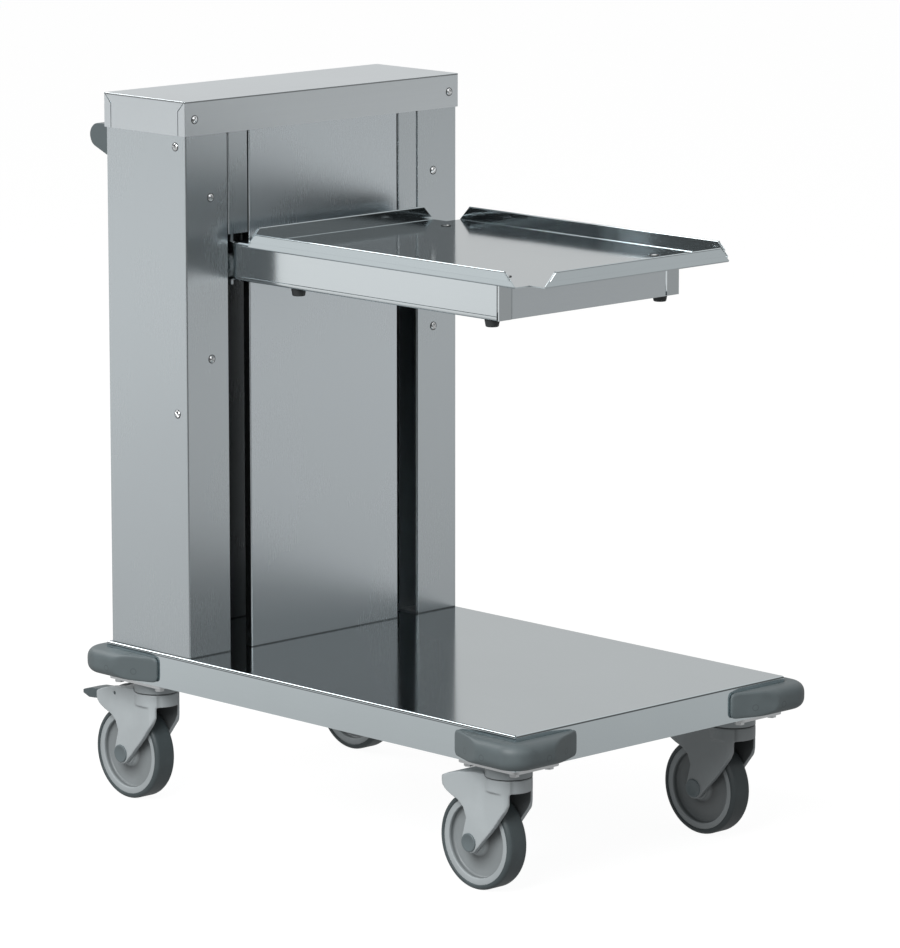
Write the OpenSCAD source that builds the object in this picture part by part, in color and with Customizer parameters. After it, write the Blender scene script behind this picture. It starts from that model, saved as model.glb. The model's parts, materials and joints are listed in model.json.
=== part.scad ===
// Self-leveling tray dispenser cart: a sheet-metal column on a wheeled base deck.
// A sprung carriage inside the column carries a cantilevered tray platform.
// Millimetres. +Z is up, -Y is the loading side, the column and push handle are at +Y.
// The origin is on the floor under the middle of the cart's own bounding box.

/* [Base deck] */
// How far the base deck stands out beyond each side of the column
deck_side = 2; // [0:0.5:12]
// Length of the base deck
deck_l = 769; // [740:1:900]
// Height of the folded skirt around the deck
deck_skirt_h = 46; // [42:1:60]
// Thickness of the deck sheet
deck_sheet = 1.5; // [1:0.1:2.5]
// Outside radius of the deck's folded edges
deck_bend_r = 3; // [2.5:0.5:6]
// Length of each cross member along the cart
cross_l = 108; // [104:1:130]
// Thickness of the cross members' sheet
cross_t = 2; // [1.5:0.1:3]
// Width of the rib under the middle of the deck
rib_w = 70; // [40:1:90]

/* [Corner bumpers] */
// How far a bumper stands out from the deck's side
bumper_reach = 28; // [20:1:34]
// Height of a bumper
bumper_h = 34; // [28:1:40]
// Length of each leg of a bumper along the deck's side
bumper_leg = 104; // [75:1:120]
// Length of the slanted end of a bumper's leg
bumper_slope_l = 62; // [30:1:74]
// Thickness of a bumper's leg at its end
bumper_end_t = 4; // [3:0.5:16]
// Corner radius of the end of a bumper's leg, seen from the side
bumper_end_r = 7; // [4:0.5:12]
// Rounding of a bumper's outer edges
bumper_edge_r = 13; // [5:0.5:14]
// Outside radius of a bumper's corner, seen from above
bumper_corner_r = 34; // [30:1:38]

/* [Casters] */
// Overall height of a caster, floor to the top of its plate
caster_h = 171; // [168:1:190]
// Wheel diameter
wheel_d = 125; // [115:1:128]
// Width of the tyre
wheel_w = 32; // [26:1:34]
// Radial thickness of the tyre
tyre_t = 6; // [4:0.5:9]
// Horizontal distance from the swivel axis to the axle
caster_trail = 44; // [36:1:48]
// Caster plate size across the cart
caster_plate_w = 80; // [76:1:90]
// Caster plate size along the cart
caster_plate_l = 105; // [100:1:115]
// Caster plate thickness
caster_plate_t = 4; // [3:0.5:5]
// Bolt spacing across the cart
caster_bolt_dx = 60; // [56:1:62]
// Bolt spacing along the cart
caster_bolt_dy = 80; // [76:1:84]
// Diameter of the swivel bearing cup and of the fork's head
cup_d = 60; // [54:1:64]
// Outside width of the fork
fork_w = 52; // [50:1:56]
// Reach of the fork's hood behind the swivel axis
fork_reach = 98.5; // [92:0.5:102]
// Corner radius of the fork's hood, seen from above
fork_corner_r = 10; // [8:1:24]
// Diameter of the wheel axle
axle_d = 8; // [6:0.5:10]
// Diameter of the axle's end caps
axle_cap_d = 24; // [20:1:27]
// Reach of the brake pedal behind the swivel axis
pedal_reach = 135; // [125:1:150]
// Width of the brake pedal's tread
pedal_w = 27; // [24:1:34]

/* [Column] */
// Width of the column
column_w = 484; // [460:1:486]
// Depth of the column
column_d = 155; // [140:1:180]
// Height of the column above the floor
column_h = 947; // [935:1:1050]
// Deck length left free behind the column
deck_behind_column = 9; // [4:1:20]
// Thickness of the cover sheets
cover_sheet = 1.5; // [1:0.1:2]
// Outside radius of the covers' folded edges
cover_bend_r = 2.5; // [2:0.1:4]
// Height of the column cap's flanges
cap_h = 45; // [35:1:60]
// Share of the column's width that the centre panel takes between the arm slots
centre_panel_share = 0.5475; // [0.5:0.0005:0.56]
// Width of each arm slot
slot_w = 38; // [34:1:44]
// Width of the covers' flanges at the rear
rear_flange_w = 42; // [38:1:55]
// Width of the fixed strips that close the slots above the arms
strip_w = 34; // [28:1:35]
// Space between the arms' top and a strip's lower end
strip_lift = 10; // [4:1:20]

/* [Guide rails and carriage] */
// Thickness of the guide rails' wall
rail_t = 2.5; // [2:0.1:3]
// Diameter of a guide roller
roller_d = 30; // [26:0.5:34]
// Width of a guide roller
roller_w = 20; // [14:1:24]
// Height between the lower and the upper rollers
roller_spacing = 140; // [110:1:150]
// Diameter of a roller's pin
roller_pin_d = 10; // [8:0.5:12]
// Thickness of the carriage's uprights
upright_t = 4; // [3:0.5:5]
// Depth of the crossbars from front to rear
crossbar_d = 18; // [14:1:20]
// Height of the crossbars
crossbar_h = 40; // [30:1:44]
// Number of lift springs
spring_count = 10; // [4:1:10]
// Outside diameter of a lift spring
spring_d = 17; // [12:1:20]
// Space between the axes of two neighbouring springs
spring_pitch = 24; // [22:1:26]
// Diameter of the rods that the springs hook on
spring_rod_d = 8; // [6:0.5:10]

/* [Tray platform] */
// How far the tray plate stands out beyond each arm
tray_side = 28; // [20:1:45]
// Length of the tray plate between its end flanges' outer faces
tray_l = 540; // [500:1:560]
// Thickness of the tray plate
tray_sheet = 1.5; // [1:0.1:2.5]
// Height of the tray plate's flanges
tray_flange_h = 20; // [14:1:30]
// How far the folded hem of a tray flange stands out beyond the flange
tray_hem_w = 3; // [2.5:0.5:6]
// Height of the folded hem of a tray flange
tray_hem_h = 11; // [6:0.5:14]
// Side of the square notch at each corner of the tray plate
tray_notch = 27; // [22:1:34]
// Space between the column and the tray plate's rear flange
tray_gap = 35; // [20:1:60]
// Height of the arms' top above the floor, with the platform at its upper stop
arm_top_z = 759; // [740:1:800]
// Height of the arms
arm_h = 50; // [40:1:60]
// Space between an arm's outer face and its slot's outer edge
arm_slot_gap = 7.5; // [6:0.5:11]
// Reach of the arms in front of the column
arm_reach = 490; // [450:1:520]
// Thickness of the arms' sheet
arm_t = 2; // [1.5:0.1:3]
// Width of the arms' horizontal flanges
arm_flange_w = 43; // [38:1:50]
// Width of the arms' returned flange at the front
arm_return_w = 23; // [15:1:30]
// Height of the rubber buffers under the platform
buffer_h = 10; // [8:1:14]
// Diameter of the rubber buffers under the platform
buffer_d = 20; // [14:1:24]

/* [Push handle] */
// Diameter of the handle tube
handle_d = 25; // [20:1:28]
// Distance from the column's rear face to the handle's axis
handle_out = 43; // [40:1:60]
// Depth of the handle's axis below the column's top
handle_drop = 62; // [55:1:90]
// Width of each handle bracket
handle_bracket_w = 26; // [20:1:32]
// Space between a handle bracket and the column's side
handle_inset = 22; // [9:1:40]
// Outside radius of a bracket's rounded end
handle_bracket_r = 16; // [15:0.5:20]
// Height of a bracket where it meets the column
handle_bracket_h = 50; // [44:1:70]

/* [Screws] */
// Head diameter of the cover screws
screw_head_d = 9; // [7:0.5:11]
// Shank diameter of the cover screws
screw_d = 4; // [3:0.5:5]
// Thread diameter of the caster bolts
bolt_d = 8; // [6:1:8]

/* [Hidden] */
$fn = 64;

// Colours
steel = [0.66, 0.69, 0.70];
bright_steel = [0.78, 0.80, 0.81];
zinc = [0.72, 0.74, 0.75];
dark_rubber = [0.20, 0.22, 0.23];
grey_rubber = [0.34, 0.38, 0.39];
pale_plastic = [0.66, 0.70, 0.71];
dark_plastic = [0.22, 0.25, 0.26];

// Clearances
cut = 1;              // overrun of every cutting shape
slide_gap = 0.3;      // between pieces that move past each other
running_gap = 0.05;   // radial clearance of a pin in its bore
seat_gap = 0.3;       // between a soft piece and what it rests on

// Places that everything hangs on. y = 0 is the column's front face until the last shift.
deck_w = column_w + 2 * deck_side;
deck_top = caster_h + deck_skirt_h;
deck_rear = column_d + deck_behind_column;
deck_front = deck_rear - deck_l;
deck_mid = (deck_front + deck_rear) / 2;
caster_edge = 0.5;    // plate edge to deck edge, along the cart
caster_side_edge = 1; // and across it
caster_x = deck_w / 2 - caster_plate_w / 2 - caster_side_edge;
caster_front_y = deck_front + caster_plate_l / 2 + caster_edge;
caster_rear_y = deck_rear - caster_plate_l / 2 - caster_edge;
handle_y = column_d + handle_out;
handle_z = column_h - handle_drop;
rear_reach = max(caster_rear_y + pedal_reach, deck_rear + bumper_reach, handle_y + handle_bracket_r);
y_mid = (deck_front - bumper_reach + rear_reach) / 2;

// Caster heights and sizes
wheel_r = wheel_d / 2;
plate_bottom = caster_h - caster_plate_t;
cup_h = 15.5;
cup_bottom = plate_bottom - cup_h;
swivel_gap = 0.5;
head_top = cup_bottom - swivel_gap;
head_h = 17;
head_bottom = head_top - head_h;
kingpin_d = 12;
kingpin_washer_d = 22;
kingpin_washer_t = 3;
wheel_clearance = 3.5;
well_side_gap = 2;
well_w = wheel_w + 2 * well_side_gap;
hub_r = 14;
hub_tangent_deg = 43;
hub_back_deg = 10;
// Side outline of the fork, as shares of its reach and of the caster's height
fork_front_shares = [[-0.213, 0.86], [-0.213, 0.702], [-0.171, 0.649], [0.028, 0.503]];
fork_rear_shares = [[0.508, 0.545], [0.558, 0.618], [0.654, 0.663], [0.772, 0.688],
    [0.88, 0.72], [0.97, 0.762], [1, 0.79], [0.985, 0.816], [0.853, 0.848], [0.68, 0.876],
    [0.36, 0.902], [0.155, 0.908], [0.155, 0.86]];

// Brake pedal
pedal_pivot_share = [0.57, 0.836];
pedal_pivot_y = pedal_pivot_share[0] * fork_reach;
pedal_pivot_z = pedal_pivot_share[1] * caster_h;
pedal_pin_d = 5;
pedal_boss_r = 6;
pedal_arm_w = 22;
pedal_side_gap = 0.5;
pedal_slot_gap = 1.5;
// Side outline of the pedal, as shares of its reach and of the caster's height
pedal_arm_shares = [[0.415, 0.871], [0.68, 0.822], [0.78, 0.812], [0.78, 0.737], [0.70, 0.731],
    [0.60, 0.737], [0.533, 0.728], [0.415, 0.80]];
pedal_tread_shares = [[0.755, 0.816], [0.87, 0.81], [0.97, 0.79], [1, 0.781], [1, 0.754],
    [0.91, 0.728], [0.755, 0.737]];

// Wheel
rim_r = wheel_r - tyre_t;
rim_ring_t = 9;
rim_half_w = 14;
web_half_t = 4;
wheel_hub_r = 16;
hub_side_gap = 0.5;
wheel_hub_half_w = well_w / 2 - hub_side_gap;
tyre_edge_r = 5;
axle_cap_t = 2;

// Column
cover_x = column_w / 2;
slot_in = centre_panel_share * column_w / 2;
slot_out = slot_in + slot_w;
cap_gap = 0.3;
cap_bottom = column_h - cap_h;
cover_top = column_h - 2 * cover_sheet;
panel_return_d = 12;
bridge_drop = 47;
bridge_z = column_h - bridge_drop;
bridge_t = 3;
bridge_lip_h = 38;
rail_front = cover_sheet;
rail_inner = roller_d + 2 * slide_gap;
rail_rear = rail_front + rail_inner + 2 * rail_t;
rail_mid_y = rail_front + rail_t + rail_inner / 2;
rail_outer_x = cover_x - cover_sheet;
strip_x = slot_in + slot_w / 2;
strip_side_gap = 0.5;
rail_tip_x = strip_x + strip_w / 2 + strip_side_gap;
foot_t = 3;
foot_ear_h = 33;
foot_inset = 6;
foot_d = 60;
foot_screw_x = (rail_tip_x + rail_outer_x) / 2;
foot_screw_dx = 13.5;
foot_screw_y = (rail_rear + foot_t + foot_d) / 2;
rear_panel_front = column_d - 2 * cover_sheet;

// Platform and carriage
arm_x = slot_out - arm_slot_gap;
tray_w = 2 * (arm_x + tray_side);
arm_bottom = arm_top_z - arm_h;
arm_inside = rail_rear;
arm_stand_off = 2;
front_panel_gap = 2.5;
front_panel_d = 22;
tray_rear = -tray_gap;
tray_front = tray_rear - tray_l;
buffer_inset = 13;
buffer_x = arm_x - buffer_inset;
buffer_y_shares = [0.232, 0.955];
plate_screw_inset = 31;
plate_screw_x = arm_x - plate_screw_inset;
plate_screw_y_shares = [0.192, 0.969];
carriage_lift = 3;
carriage_bottom = arm_bottom - buffer_h + carriage_lift;
stop_h = 6.7;
stop_inset = 43;
stop_x = arm_x - stop_inset;
stop_d = 16;
carriage_top = bridge_z - stop_h - slide_gap;
upright_front = 4;
crossbar_front = 28;
crossbar_rear = crossbar_front + crossbar_d;
crossbar_t = 2;
lower_crossbar_z = carriage_bottom + carriage_lift;
upper_crossbar_z = carriage_top - crossbar_h;
roller_lift = 23;
roller_lower_z = carriage_bottom + roller_lift;
roller_upper_z = roller_lower_z + roller_spacing;
roller_tip_gap = 1.5;
roller_x = rail_tip_x + roller_w / 2 + roller_tip_gap;
axle_shoulder_d = 16;
axle_washer_t = 1.5;
spring_back = 49;
spring_y = crossbar_rear + spring_back;
spring_hook_d = 3;
spring_neck_h = 10;
anchor_lift = 7;
anchor_rod_z = lower_crossbar_z + anchor_lift;
hanger_drop = 8;
hanger_rod_z = bridge_z - hanger_drop;
lug_t = 4;
lug_x = spring_count * spring_pitch / 2 + lug_t;

// Height at a share of the covers' height
function cover_z(share) = deck_top + share * (cover_top - deck_top);

// Screw places: [x, y, z] on the face that the head sits on
cheek_share = 0.4;
cheek_screw_x = slot_out + cheek_share * (cover_x - slot_out);
cheek_screw_shares = [0.539, 0.829];
cheek_screws = [for (s = [-1, 1], t = cheek_screw_shares) [s * cheek_screw_x, 0, cover_z(t)]];
cap_screw_inset = 15;
cap_screw_share = 0.467;
cap_screws = [for (s = [-1, 1])
    [s * (cover_x - cap_screw_inset), -cap_gap - cover_sheet, cap_bottom + cap_screw_share * cap_h]];
side_screw_y = rail_mid_y;
side_screw_shares = [0.443, 0.922];
rear_screw_shares = [0.114, 0.472, 0.788];
rear_screws = [for (s = [-1, 1], t = rear_screw_shares)
    [s * (cover_x - rear_flange_w / 2), column_d, cover_z(t)]];

// Screws and bolts
screw_head_h = 2.4;
screw_dome_share = 0.75;
screw_slot_w = 0.9;
screw_slot_d = 1;
cover_screw_l = 6;
plate_screw_l = 7;
plate_head_h = 2.5;
bolt_head_h = 5;
bolt_head_d = 13;
bolt_nut_h = 6.5;
bumper_screw_l = 14;
bumper_screw_at_shares = [0.3, 0.75];

// Bumpers, handle and buffers
bumper_drop = 7;
bumper_z = deck_top - bumper_drop - bumper_h;
bracket_x = cover_x - handle_inset - handle_bracket_w / 2;
handle_screw_shares = [0.16, 0.76];
handle_screw_l = 12;
tube_wall = 5;        // left closed at each end of the tube's seat
tube_end = bracket_x + handle_bracket_w / 2 - tube_wall;
bracket_low_z = handle_z + handle_bracket_r - handle_bracket_h;
bracket_under_deg = 30;
buffer_taper_share = 0.82;

// Shift to the cart's own origin
module on_cart() {
    translate([0, -y_mid, 0]) children();
}

// Rectangle with rounded corners
module round_rect(w, h, r) {
    translate([r, 0]) square([w - 2 * r, h]);
    translate([0, r]) square([w, h - 2 * r]);
    for (x = [r, w - r], y = [r, h - r]) translate([x, y]) circle(r = r);
}

// Upright profile with rounded top corners, centred on x = 0
module arch(w, h, r) {
    translate([-w / 2, 0]) square([w, h - r]);
    translate([-w / 2 + r, 0]) square([w - 2 * r, h]);
    for (s = [-1, 1]) translate([s * (w / 2 - r), h - r]) circle(r = r);
}

// Block with rounded top edges: x and y sizes, height, edge radius, middle in y
module pillow(w, l, h, r, mid_y) {
    intersection() {
        translate([0, mid_y + l / 2, 0]) rotate([90, 0, 0]) linear_extrude(l) arch(w, h, r);
        translate([-w / 2, mid_y, 0]) rotate([90, 0, 90]) linear_extrude(w) arch(l, h, r);
    }
}

// Box given by its low and high corners
module block(low, high) {
    translate(low) cube(high - low);
}

// The children at the four caster places
module at_casters() {
    for (sx = [-1, 1], y = [caster_front_y, caster_rear_y])
        translate([sx * caster_x, y, 0]) children();
}

// One cover screw, its head's seat at z = 0 and its shank down
module screw(shank_l) {
    difference() {
        union() {
            intersection() {
                cylinder(d = screw_head_d, h = screw_head_h);
                translate([0, 0, screw_head_h - screw_dome_share * screw_head_d])
                    sphere(r = screw_dome_share * screw_head_d);
            }
            translate([0, 0, -shank_l]) cylinder(d = screw_d, h = shank_l + cut);
        }
        translate([-screw_head_d, -screw_slot_w / 2, screw_head_h - screw_slot_d])
            cube([2 * screw_head_d, screw_slot_w, 2 * screw_slot_d]);
    }
}

// The hole that a screw's shank goes through
module screw_hole(depth) {
    translate([0, 0, -depth]) cylinder(d = screw_d, h = depth + cut);
}

// Directions of the faces that screws sit on
module facing_front(p, turn = 0) {
    translate(p) rotate([90, 0, 0]) rotate([0, 0, turn]) children();
}
module facing_rear(p, turn = 0) {
    translate(p) rotate([-90, 0, 0]) rotate([0, 0, turn]) children();
}
module facing_side(s, p, turn = 0) {
    translate(p) rotate([0, s * 90, 0]) rotate([0, 0, turn]) children();
}

// Holes for the cover screws, each about as deep as the sheets that it joins
module cover_screw_holes(depth) {
    for (p = concat(cheek_screws, cap_screws)) facing_front(p) screw_hole(depth);
    for (p = rear_screws) facing_rear(p) screw_hole(depth);
    for (s = [-1, 1], t = side_screw_shares)
        facing_side(s, [s * cover_x, side_screw_y, cover_z(t)]) screw_hole(depth);
}

// Space under the deck's sheet, from below its skirt up to its underside
module deck_inside(below) {
    translate([0, 0, caster_h - below])
        pillow(deck_w - 2 * deck_sheet, deck_l - 2 * deck_sheet,
            deck_skirt_h - deck_sheet + below, deck_bend_r - deck_sheet, deck_mid);
}

// Deck sheet: folded down on four sides
module deck_sheet_metal() {
    difference() {
        translate([0, 0, caster_h]) pillow(deck_w, deck_l, deck_skirt_h, deck_bend_r, deck_mid);
        deck_inside(cut);
        bumper_screw_holes();
        rail_foot_screw_holes();
    }
}

// Base deck: the sheet's flat top
module base_deck() {
    color(steel) on_cart() intersection() {
        deck_sheet_metal();
        block([-deck_w, deck_front - cut, deck_top - deck_sheet],
            [deck_w, deck_rear + cut, deck_top + cut]);
    }
}

// One folded-down side of the sheet, between the mitres at its two corners: the side's own
// length, its distance from the deck's middle, and its direction
module deck_skirt(length, away, turn) {
    color(steel) on_cart() intersection() {
        deck_sheet_metal();
        translate([0, deck_mid, caster_h - cut]) rotate([0, 0, turn])
            linear_extrude(deck_skirt_h - deck_sheet + cut)
                polygon([[away + cut, -length / 2 - cut], [away + cut, length / 2 + cut],
                    [away - deck_bend_r, length / 2 - deck_bend_r],
                    [away - deck_bend_r, deck_bend_r - length / 2]]);
    }
}
module deck_skirt_left() { deck_skirt(deck_l, deck_w / 2, 180); }
module deck_skirt_right() { deck_skirt(deck_l, deck_w / 2, 0); }
module deck_skirt_front() { deck_skirt(deck_w, deck_l / 2, -90); }
module deck_skirt_rear() { deck_skirt(deck_w, deck_l / 2, 90); }

// Cross member under one end of the deck: a floor that the casters are bolted to, and two
// upright flanges that carry the deck
module crossmember(low_y) {
    x = deck_w / 2 - deck_sheet;
    color(zinc) on_cart() difference() {
        block([-x, low_y, caster_h], [x, low_y + cross_l, caster_h + cross_t]);
        at_casters() for (bx = [-1, 1], by = [-1, 1])
            translate([bx * caster_bolt_dx / 2, by * caster_bolt_dy / 2, caster_h - cut])
                cylinder(d = bolt_d, h = cross_t + 2 * cut);
    }
}
module crossmember_flanges(low_y) {
    x = deck_w / 2 - deck_sheet;
    color(zinc) on_cart() difference() {
        intersection() {
            block([-x, low_y, caster_h + cross_t], [x, low_y + cross_l, deck_top - deck_sheet]);
            deck_inside(0);
        }
        block([-x - cut, low_y + cross_t, caster_h],
            [x + cut, low_y + cross_l - cross_t, deck_top + cut]);
        bumper_screw_holes();
    }
}
module deck_crossmember_front() { crossmember(deck_front + deck_sheet); }
module deck_crossmember_rear() { crossmember(deck_rear - deck_sheet - cross_l); }
module crossmember_flanges_front() { crossmember_flanges(deck_front + deck_sheet); }
module crossmember_flanges_rear() { crossmember_flanges(deck_rear - deck_sheet - cross_l); }

// Rib along the deck's underside between the cross members
module deck_rib() {
    y0 = deck_front + deck_sheet + cross_l;
    y1 = deck_rear - deck_sheet - cross_l;
    h = deck_skirt_h / 2;
    color(zinc) on_cart() difference() {
        block([-rib_w / 2, y0, deck_top - deck_sheet - h], [rib_w / 2, y1, deck_top - deck_sheet]);
        block([-rib_w / 2 + cross_t, y0 - cut, deck_top - deck_sheet - h + cross_t],
            [rib_w / 2 - cross_t, y1 + cut, deck_top]);
    }
}

// Section of a bumper's leg: x is the distance out from the deck's side
module bumper_section(inside) {
    r = bumper_edge_r;
    translate([-inside, 0]) square([inside + bumper_reach - r, bumper_h]);
    translate([-inside, r]) square([inside + bumper_reach, bumper_h - 2 * r]);
    for (y = [r, bumper_h - r]) translate([bumper_reach - r, y]) circle(r = r);
}

// Bumper for the front left corner, its inner corner at the origin, legs along +x and +y
module bumper_corner() {
    c = bumper_corner_r - bumper_reach;
    long = bumper_leg;
    difference() {
        union() {
            translate([c, c, 0]) intersection() {
                rotate_extrude() intersection() {
                    translate([c, 0]) bumper_section(c);
                    square([2 * bumper_corner_r, bumper_h]);
                }
                block([-2 * bumper_corner_r, -2 * bumper_corner_r, -cut], [0, 0, bumper_h + cut]);
            }
            for (m = [[0, 0, 0], [1, -1, 0]]) mirror(m) intersection() {
                translate([c, 0, 0]) rotate([90, 0, 90]) linear_extrude(long - c)
                    mirror([1, 0]) bumper_section(0);
                linear_extrude(bumper_h) polygon([[0, 0], [long, 0], [long, -bumper_end_t],
                    [long - bumper_slope_l, -bumper_reach], [0, -bumper_reach]]);
                rotate([90, 0, 0]) linear_extrude(bumper_reach) hull() {
                    square([c, bumper_h]);
                    for (z = [bumper_end_r, bumper_h - bumper_end_r])
                        translate([long - bumper_end_r, z]) circle(r = bumper_end_r);
                }
            }
        }
        block([0, 0, -cut], [2 * long, 2 * long, bumper_h + cut]);
    }
}

// The children at one corner of the deck, turned so that the bumper fits it
module at_corner(sx, sy) {
    translate([sx * deck_w / 2, sy < 0 ? deck_front : deck_rear, bumper_z])
        mirror([sx > 0 ? 1 : 0, 0, 0]) mirror([0, sy > 0 ? 1 : 0, 0]) children();
}

// Screws of one bumper, from inside the skirt outwards, two along each leg
module bumper_screw_places() {
    for (m = [[0, 0, 0], [1, -1, 0]], t = bumper_screw_at_shares) mirror(m)
        translate([t * bumper_leg, cross_t + deck_sheet, bumper_h / 2]) rotate([-90, 0, 0]) children();
}
module bumper_screw_holes() {
    for (sx = [-1, 1], sy = [-1, 1]) at_corner(sx, sy) bumper_screw_places()
        screw_hole(bumper_screw_l);
}
module bumper(sx, sy) {
    color(grey_rubber) on_cart() difference() {
        at_corner(sx, sy) bumper_corner();
        bumper_screw_holes();
    }
}
module bumper_front_left() { bumper(-1, -1); }
module bumper_front_right() { bumper(1, -1); }
module bumper_rear_left() { bumper(-1, 1); }
module bumper_rear_right() { bumper(1, 1); }
module bumper_screws() {
    color(zinc) on_cart() for (sx = [-1, 1], sy = [-1, 1]) at_corner(sx, sy)
        bumper_screw_places() screw(bumper_screw_l);
}

// Caster plates, each with its bearing cup, kingpin and washer
module caster_plates() {
    color(zinc) on_cart() at_casters() {
        difference() {
            translate([-caster_plate_w / 2, -caster_plate_l / 2, plate_bottom])
                linear_extrude(caster_plate_t) round_rect(caster_plate_w, caster_plate_l, bolt_d);
            for (bx = [-1, 1], by = [-1, 1])
                translate([bx * caster_bolt_dx / 2, by * caster_bolt_dy / 2, plate_bottom - cut])
                    cylinder(d = bolt_d, h = caster_plate_t + 2 * cut);
        }
        translate([0, 0, cup_bottom]) cylinder(d = cup_d, h = cup_h + cut);
        translate([0, 0, head_bottom - slide_gap]) cylinder(d = kingpin_d, h = head_h + cut + slide_gap);
        translate([0, 0, head_bottom - slide_gap - kingpin_washer_t])
            cylinder(d = kingpin_washer_d, h = kingpin_washer_t);
    }
}

// Caster bolts: hexagon head under the plate, nut inside the cross member
module caster_bolts() {
    color(zinc) on_cart() at_casters() for (bx = [-1, 1], by = [-1, 1])
        translate([bx * caster_bolt_dx / 2, by * caster_bolt_dy / 2, 0]) {
            translate([0, 0, plate_bottom - bolt_head_h])
                cylinder(d = bolt_head_d, h = bolt_head_h, $fn = 6);
            translate([0, 0, plate_bottom - cut])
                cylinder(d = bolt_d, h = caster_plate_t + cross_t + bolt_nut_h + 2 * cut);
            translate([0, 0, caster_h + cross_t]) cylinder(d = bolt_head_d, h = bolt_nut_h, $fn = 6);
        }
}

// Fork, seen from the side: y is the distance behind the swivel axis
module fork_side() {
    polygon(concat(
        [for (p = fork_front_shares) [p[0] * fork_reach, p[1] * caster_h]],
        [[caster_trail - hub_r * cos(hub_tangent_deg), wheel_r - hub_r * sin(hub_tangent_deg)],
            [caster_trail + hub_r * cos(hub_back_deg), wheel_r + hub_r * sin(hub_back_deg)]],
        [for (p = fork_rear_shares) [p[0] * fork_reach, p[1] * caster_h]]));
    translate([caster_trail, wheel_r]) circle(r = hub_r);
}

// Fork, seen from above
module fork_plan() {
    circle(d = cup_d);
    translate([-fork_w / 2, 0]) square([fork_w, fork_reach - fork_corner_r]);
    for (s = [-1, 1]) translate([s * (fork_w / 2 - fork_corner_r), fork_reach - fork_corner_r])
        circle(r = fork_corner_r);
    translate([fork_corner_r - fork_w / 2, 0]) square([fork_w - 2 * fork_corner_r, fork_reach]);
}

// Moulded caster fork with its hood; a braked one has a slot for the pedal
module caster_fork(sx, y, braked) {
    color(pale_plastic) on_cart() translate([sx * caster_x, y, 0]) difference() {
        union() {
            intersection() {
                translate([-fork_w / 2, 0, 0]) rotate([90, 0, 90]) linear_extrude(fork_w) fork_side();
                linear_extrude(caster_h) fork_plan();
            }
            translate([0, 0, head_bottom]) cylinder(d = cup_d, h = head_h);
        }
        translate([0, 0, head_top]) cylinder(r = cup_d / 2 + slide_gap, h = caster_h);
        translate([-well_w / 2, caster_trail, wheel_r]) rotate([0, 90, 0])
            cylinder(r = wheel_r + wheel_clearance, h = well_w);
        block([-well_w / 2, -cup_d, wheel_r], [well_w / 2, caster_trail, head_bottom]);
        translate([0, 0, head_bottom - cut]) cylinder(r = kingpin_d / 2 + running_gap, h = caster_h);
        cylinder(r = kingpin_washer_d / 2 + slide_gap, h = head_bottom);
        translate([-fork_w, caster_trail, wheel_r]) rotate([0, 90, 0])
            cylinder(r = axle_d / 2 + running_gap, h = 2 * fork_w);
        if (braked) {
            w = pedal_arm_w / 2 + pedal_side_gap;
            block([-w, pedal_pivot_y - pedal_boss_r - pedal_slot_gap, wheel_r],
                [w, 2 * fork_reach, caster_h]);
            translate([-fork_w, pedal_pivot_y, pedal_pivot_z]) rotate([0, 90, 0])
                cylinder(r = pedal_pin_d / 2 + running_gap, h = 2 * fork_w);
        }
    }
}
module caster_fork_front_left() { caster_fork(-1, caster_front_y, false); }
module caster_fork_front_right() { caster_fork(1, caster_front_y, false); }
module caster_fork_rear_left() { caster_fork(-1, caster_rear_y, true); }
module caster_fork_rear_right() { caster_fork(1, caster_rear_y, true); }

// Axle with a cap on each end
module caster_axle(sx, y) {
    color(dark_plastic) on_cart() translate([sx * caster_x, y + caster_trail, wheel_r])
        rotate([0, 90, 0]) {
            translate([0, 0, -fork_w / 2 - cut]) cylinder(d = axle_d, h = fork_w + 2 * cut);
            for (s = [0, 1]) mirror([0, 0, s]) translate([0, 0, fork_w / 2])
                cylinder(d = axle_cap_d, h = axle_cap_t);
        }
}
module caster_axle_front_left() { caster_axle(-1, caster_front_y); }
module caster_axle_front_right() { caster_axle(1, caster_front_y); }
module caster_axle_rear_left() { caster_axle(-1, caster_rear_y); }
module caster_axle_rear_right() { caster_axle(1, caster_rear_y); }

// Wheel body: hub, dished web and rim ring, turned about the axle
module wheel_rim(sx, y) {
    color(pale_plastic) on_cart() translate([sx * caster_x, y + caster_trail, wheel_r])
        rotate([0, 90, 0]) rotate_extrude() {
            translate([axle_d / 2 + running_gap, -wheel_hub_half_w])
                square([wheel_hub_r - axle_d / 2 - running_gap, 2 * wheel_hub_half_w]);
            polygon([[wheel_hub_r - cut, -2 * web_half_t], [rim_r - rim_ring_t + cut, -web_half_t],
                [rim_r - rim_ring_t + cut, web_half_t], [wheel_hub_r - cut, 2 * web_half_t]]);
            translate([rim_r - rim_ring_t, -rim_half_w]) square([rim_ring_t, 2 * rim_half_w]);
        }
}
module wheel_rim_front_left() { wheel_rim(-1, caster_front_y); }
module wheel_rim_front_right() { wheel_rim(1, caster_front_y); }
module wheel_rim_rear_left() { wheel_rim(-1, caster_rear_y); }
module wheel_rim_rear_right() { wheel_rim(1, caster_rear_y); }

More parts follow.
